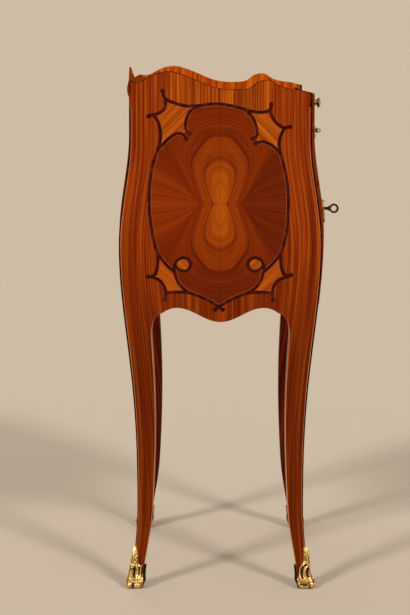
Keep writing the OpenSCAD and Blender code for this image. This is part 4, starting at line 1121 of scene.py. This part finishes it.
string_points = [
    [(-81, 106), (-80, 102), (-76, 99), (-66, 96), (-48, 93), (-28, 93.5), (-6, 95), (17, 93),
     (36, 89.5), (53, 87.5), (66, 88.5), (71, 92)],
    [(-77, 99), (-78, 91), (-86, 87), (-93, 85.5), (-100, 84.5)],
    [(-94, 86), (-87, 78.5), (-84, 69.5), (-85, 61), (-91, 49), (-96, 38), (-99, 24), (-100, 6),
     (-98, -9), (-94, -24), (-89, -36), (-77, -47), (-64, -54.5)],
    [(-89, -36), (-88, -47), (-92, -57.5)],
    [(-101, -58.5), (-93, -59.5), (-85, -62), (-79, -67.5), (-77, -73.5), (-78, -78.5)],
    [(-77, -73.5), (-64, -72.5), (-46, -73), (-31, -76), (-14, -81), (3, -88.5)],
    [(-64, -47), (-64, -54.5), (-60, -63), (-50, -70.5), (-36, -75)],
    [(-33, 92), (-43, 88), (-48, 81), (-49, 73.5), (-44, 69)],
    [(-87, 55.5), (-82, 58), (-73, 64), (-62, 68.5), (-53, 68), (-49, 64.5)],
    [(71, 94), (70, 88), (73, 82.5), (79, 77.5), (88, 74), (96, 74.5)],
    [(90, 74), (84, 66.5), (82, 58.5), (84, 51), (89, 39), (94, 23), (95, 6), (94, -11), (90, -26),
     (84, -38), (73, -47), (61, -54.5)],
    [(84, -38), (85, -47), (89, -56.5)],
    [(98, -57.5), (89, -59.5), (81, -62), (75, -67.5), (73, -73.5), (74, -78.5)],
    [(73, -73.5), (60, -72.5), (42, -73), (27, -76), (10, -81), (-7, -88.5)],
    [(60, -47), (60, -54.5), (56, -63), (46, -70.5), (32, -75)],
    [(31, 91), (43, 84.5), (49.5, 76), (51, 67.5), (45, 64)],
    [(82, 52.5), (71, 58.5), (59, 61.5), (50, 60)],
]
bud_points = [(-81, 106.5), (-101, 84), (-102, -58.5), (-78, -79.5), (3.5, -88.5), (-43, 68.5),
              (-48, 64), (71, 94.5), (97, 74.5), (99, -57), (74, -79.5), (-7.5, -88.5), (44.5, 64),
              (49, 60)]
strings = [curved(inlay(line), 6) for line in string_points]
strings += [arc(at, loop_r - string_w / 2, 0, 2 * pi, 32) for at in inlay(loop_points)]
buds = inlay(bud_points)


def on_side(side, y, z, lift):
    return Vector((side * (half_w(z) + lift), fuller_loop(y, z) + set_back, z))


def gap_between(a, b):
    return hypot(a[0] - b[0], a[1] - b[1])


def beside(line, off):
    """The line's points moved across it."""
    moved = []
    for i, at in enumerate(line):
        a, b = line[max(0, i - 1)], line[min(len(line) - 1, i + 1)]
        long = gap_between(a, b)
        moved.append((at[0] - (b[1] - a[1]) / long * off, at[1] + (b[0] - a[0]) / long * off))
    return moved


def laid_bands(name, node, side, paths, finish):
    """Flat strips of stringing along paths on a side face, a hair proud of it."""
    proud, sunk = 0.00005, -0.0004
    bm = bmesh.new()
    for path in paths:
        rings = []
        for near, far in zip(beside(path, -string_w / 2), beside(path, string_w / 2)):
            corners_at = ((near, proud), (far, proud), (far, sunk), (near, sunk))
            rings.append([bm.verts.new(on_side(side, *at, lift)) for at, lift in corners_at])
        for a, b in zip(rings, rings[1:]):
            for i in range(4):
                bm.faces.new((a[i], a[(i + 1) % 4], b[(i + 1) % 4], b[i]))
        bm.faces.new(rings[0])
        bm.faces.new(rings[-1])
    bmesh.ops.recalc_face_normals(bm, faces=bm.faces)
    lay_grain(bm, diagonal_grain)
    return piece(name, new_mesh(name, bm, finish), node, instead=False)


tie_points = [[(-88, -45), (-88.6, -50), (-90.5, -54.5), (-94, -57.6), (-98.5, -58.8)],
              [(85, -45), (85.6, -50), (87.5, -54), (91, -57), (95.5, -58)]]
ties = [curved(inlay(line), 4) for line in tie_points]

# Where every stretch of the stringing starts and ends
starts = np.array([at for line in strings for at in line[:-1]]).T
ends = np.array([at for line in strings for at in line[1:]]).T
# Pale lines, painted highlights, run along the inner edge of the stringing, but not along these short
# hooks, and they stop where another string or a bud is in the way
hooks = (1, 3, 4, 9, 11, 12)
edge_paths = []
for number, line in enumerate(strings):
    if number in hooks:
        continue
    centre = (0, inlay_mid)
    if number >= len(string_points):
        centre = inlay(loop_points)[number - len(string_points)]
    off, half = string_w / 2 + 0.0003, len(line) // 2
    if gap_between(beside(line, off)[half], centre) > gap_between(line[half], centre):
        off = -off
    run = []
    for at in beside(line, off) + [None]:
        if at and gap_to_stretch(*at, starts, ends).min() > string_w / 2 + 0.0001 \
                and min(gap_between(at, bud) for bud in buds) > string_w * 0.7:
            run.append(at)
            continue
        if len(run) > 2:
            edge_paths.append(run)
        run = []

gallery_points = [(-100, 62), (-88, 63), (-71, 91), (-56, 100), (-41, 87), (-25, 65), (-11, 45),
                  (4, 34), (19, 33), (31, 38), (41, 61), (49, 68), (55, 66), (64, 47), (74, 37),
                  (85, 32), (100, 19)]
gallery_edge = [(-y * case_d / 200, top_z + z * gallery_h / 100)
                for y, z in curved(gallery_points, 6)]

for name, side in (("left", -1), ("right", 1)):
    edges = [[on_side(side, y, z, -0.00018) for y, z in path] for path in edge_paths]
    lines(f"inlay_edges_{name}", f"stringing_{name}", edges, 0.00032, light_string)
    laid_bands(f"string_ties_{name}", f"stringing_{name}", side, ties, dark_string)
    # A dark line just under each gallery's top edge, in the banding's finish: painted shade of the
    # gap there.
    below = [on_side(side, y, z, -0.0002) - Vector((0, 0, 0.0004)) for y, z in gallery_edge]
    lines(f"gallery_line_{name}", f"stringing_{name}", [below], 0.0005, corner_banding)

low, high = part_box("slide_leather")
tooling = []
for r in (0.006, 0.009):
    x0, y0, x1, y1 = low.x + r, low.y + r, high.x - r, high.y - r
    around = ((x0, y0), (x1, y0), (x1, y1), (x0, y1), (x0, y0))
    tooling.append([Vector((x, y, high.z - 0.0001)) for x, y in around])
lines("leather_tooling", "slide_leather", tooling, 0.0003, brass)


# ---- Small smooth parts ----
def smoothed(node, finish, ease_r, angle=35):
    """A copy of a solid with its sharp edges eased."""
    bm = merged_copy(node)
    if ease_r:
        bmesh.ops.dissolve_limit(bm, angle_limit=radians(0.5), verts=bm.verts, edges=bm.edges)
        sharp = [edge for edge in bm.edges
                 if len(edge.link_faces) == 2 and edge.calc_face_angle() > radians(50)]
        bmesh.ops.bevel(bm, geom=sharp, offset=ease_r, segments=2, affect="EDGES", profile=0.5,
                        clamp_overlap=True)
        split_large_faces(bm)
    for face in bm.faces:
        face.material_index = 0
    mesh = new_mesh(node + "_eased", bm, finish)
    return piece(mesh.name, mesh, node, smooth=angle)


for drawer in ("upper", "lower"):
    for part in ("side_left", "side_right"):
        smoothed(f"{drawer}_{part}", oak, 0.0004)
    for part in ("back", "bottom"):
        smoothed(f"{drawer}_{part}", oak_across, 0.0004)
for node, finish in (("slide_board", oak_across), ("drawer_guides", oak),
                     ("drawer_stops", oak_across), ("drawer_runners", oak),
                     ("slide_bearers", oak), ("bottom_board", oak_across)):
    smoothed(node, finish, 0.0003)
for node in ("upper_key", "lower_key", "upper_bolt", "lower_bolt"):
    smoothed(node, steel, 0.00015, angle=40)
smoothed("slide_knob", gilt_bronze, 0, angle=50)

bead = bmesh.new()
bmesh.ops.create_uvsphere(bead, u_segments=16, v_segments=10, radius=0.0011)
pin = placed("pin", new_mesh("pin", bead))
for drawer in ("upper", "lower"):
    low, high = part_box(f"{drawer}_escutcheon")
    places = bpy.data.meshes.new("pins")
    y = mix(low.y, high.y, 0.32) - 0.0003
    places.from_pydata([(0, y, low.z + 0.0032), (0, y, high.z - 0.0032)], [], [])
    mesh = grown(f"{drawer}_pins", places, part_group, Part=pin, Finish=gilt_bronze)
    piece(f"{drawer}_pins", mesh, f"{drawer}_escutcheon", smooth=60, instead=False)
bpy.data.objects.remove(pin)


# ---- The room: a plain pale floor and soft light ----
def stage_plane(name, half, height):
    mesh = bpy.data.meshes.new(name)
    square = [(-half, -half), (half, -half), (half, half), (-half, half)]
    mesh.from_pydata([(x, y, height) for x, y in square], [], [(0, 1, 2, 3)])
    obj = placed(name, mesh)
    return obj


floor = stage_plane("floor", 60.0, 0.0)
floor_finish = Finish("floor_finish", Roughness=1.0, Specular_IOR_Level=0.0)
floor_finish.skin.inputs["Base Color"].default_value = rgb(226, 206, 182)
floor.data.materials.append(floor_finish.material)

world = bpy.data.worlds.new("world")
bpy.context.scene.world = world
world.use_nodes = True
sky = world.node_tree
lit = sky.nodes["Background"]
lit.inputs["Color"].default_value = rgb(226, 224, 220)
lit.inputs["Strength"].default_value = 0.45
seen = new_node(sky, "ShaderNodeBackground", {"Color": rgb(205, 188, 166), "Strength": 1.0})
rays = new_node(sky, "ShaderNodeLightPath").outputs
shown = rays["Is Camera Ray"]
for kind in ("Is Glossy Ray", "Is Transmission Ray"):
    shown = new_node(sky, "ShaderNodeMath", [shown, rays[kind]], operation="MAXIMUM").outputs[0]
choice = new_node(sky, "ShaderNodeMixShader", [shown, lit.outputs[0], seen.outputs[0]])
sky.links.new(choice.outputs[0], sky.nodes["World Output"].inputs[0])


def soft_sun(name, place, strength, spread):
    data = bpy.data.lights.new(name, "SUN")
    data.energy = strength
    data.angle = spread
    aimed(name, data, place, Vector((0, 0, 0.4)) - Vector(place))


soft_sun("key_left", (-2.5, 1.8, 2.2), 1.35, 0.17)
soft_sun("key_right", (-2.6, -1.5, 2.2), 1.25, 0.17)
soft_sun("back", (2.6, 0.6, 2.4), 0.3, 0.6)

bpy.context.scene.view_settings.view_transform = "Standard"
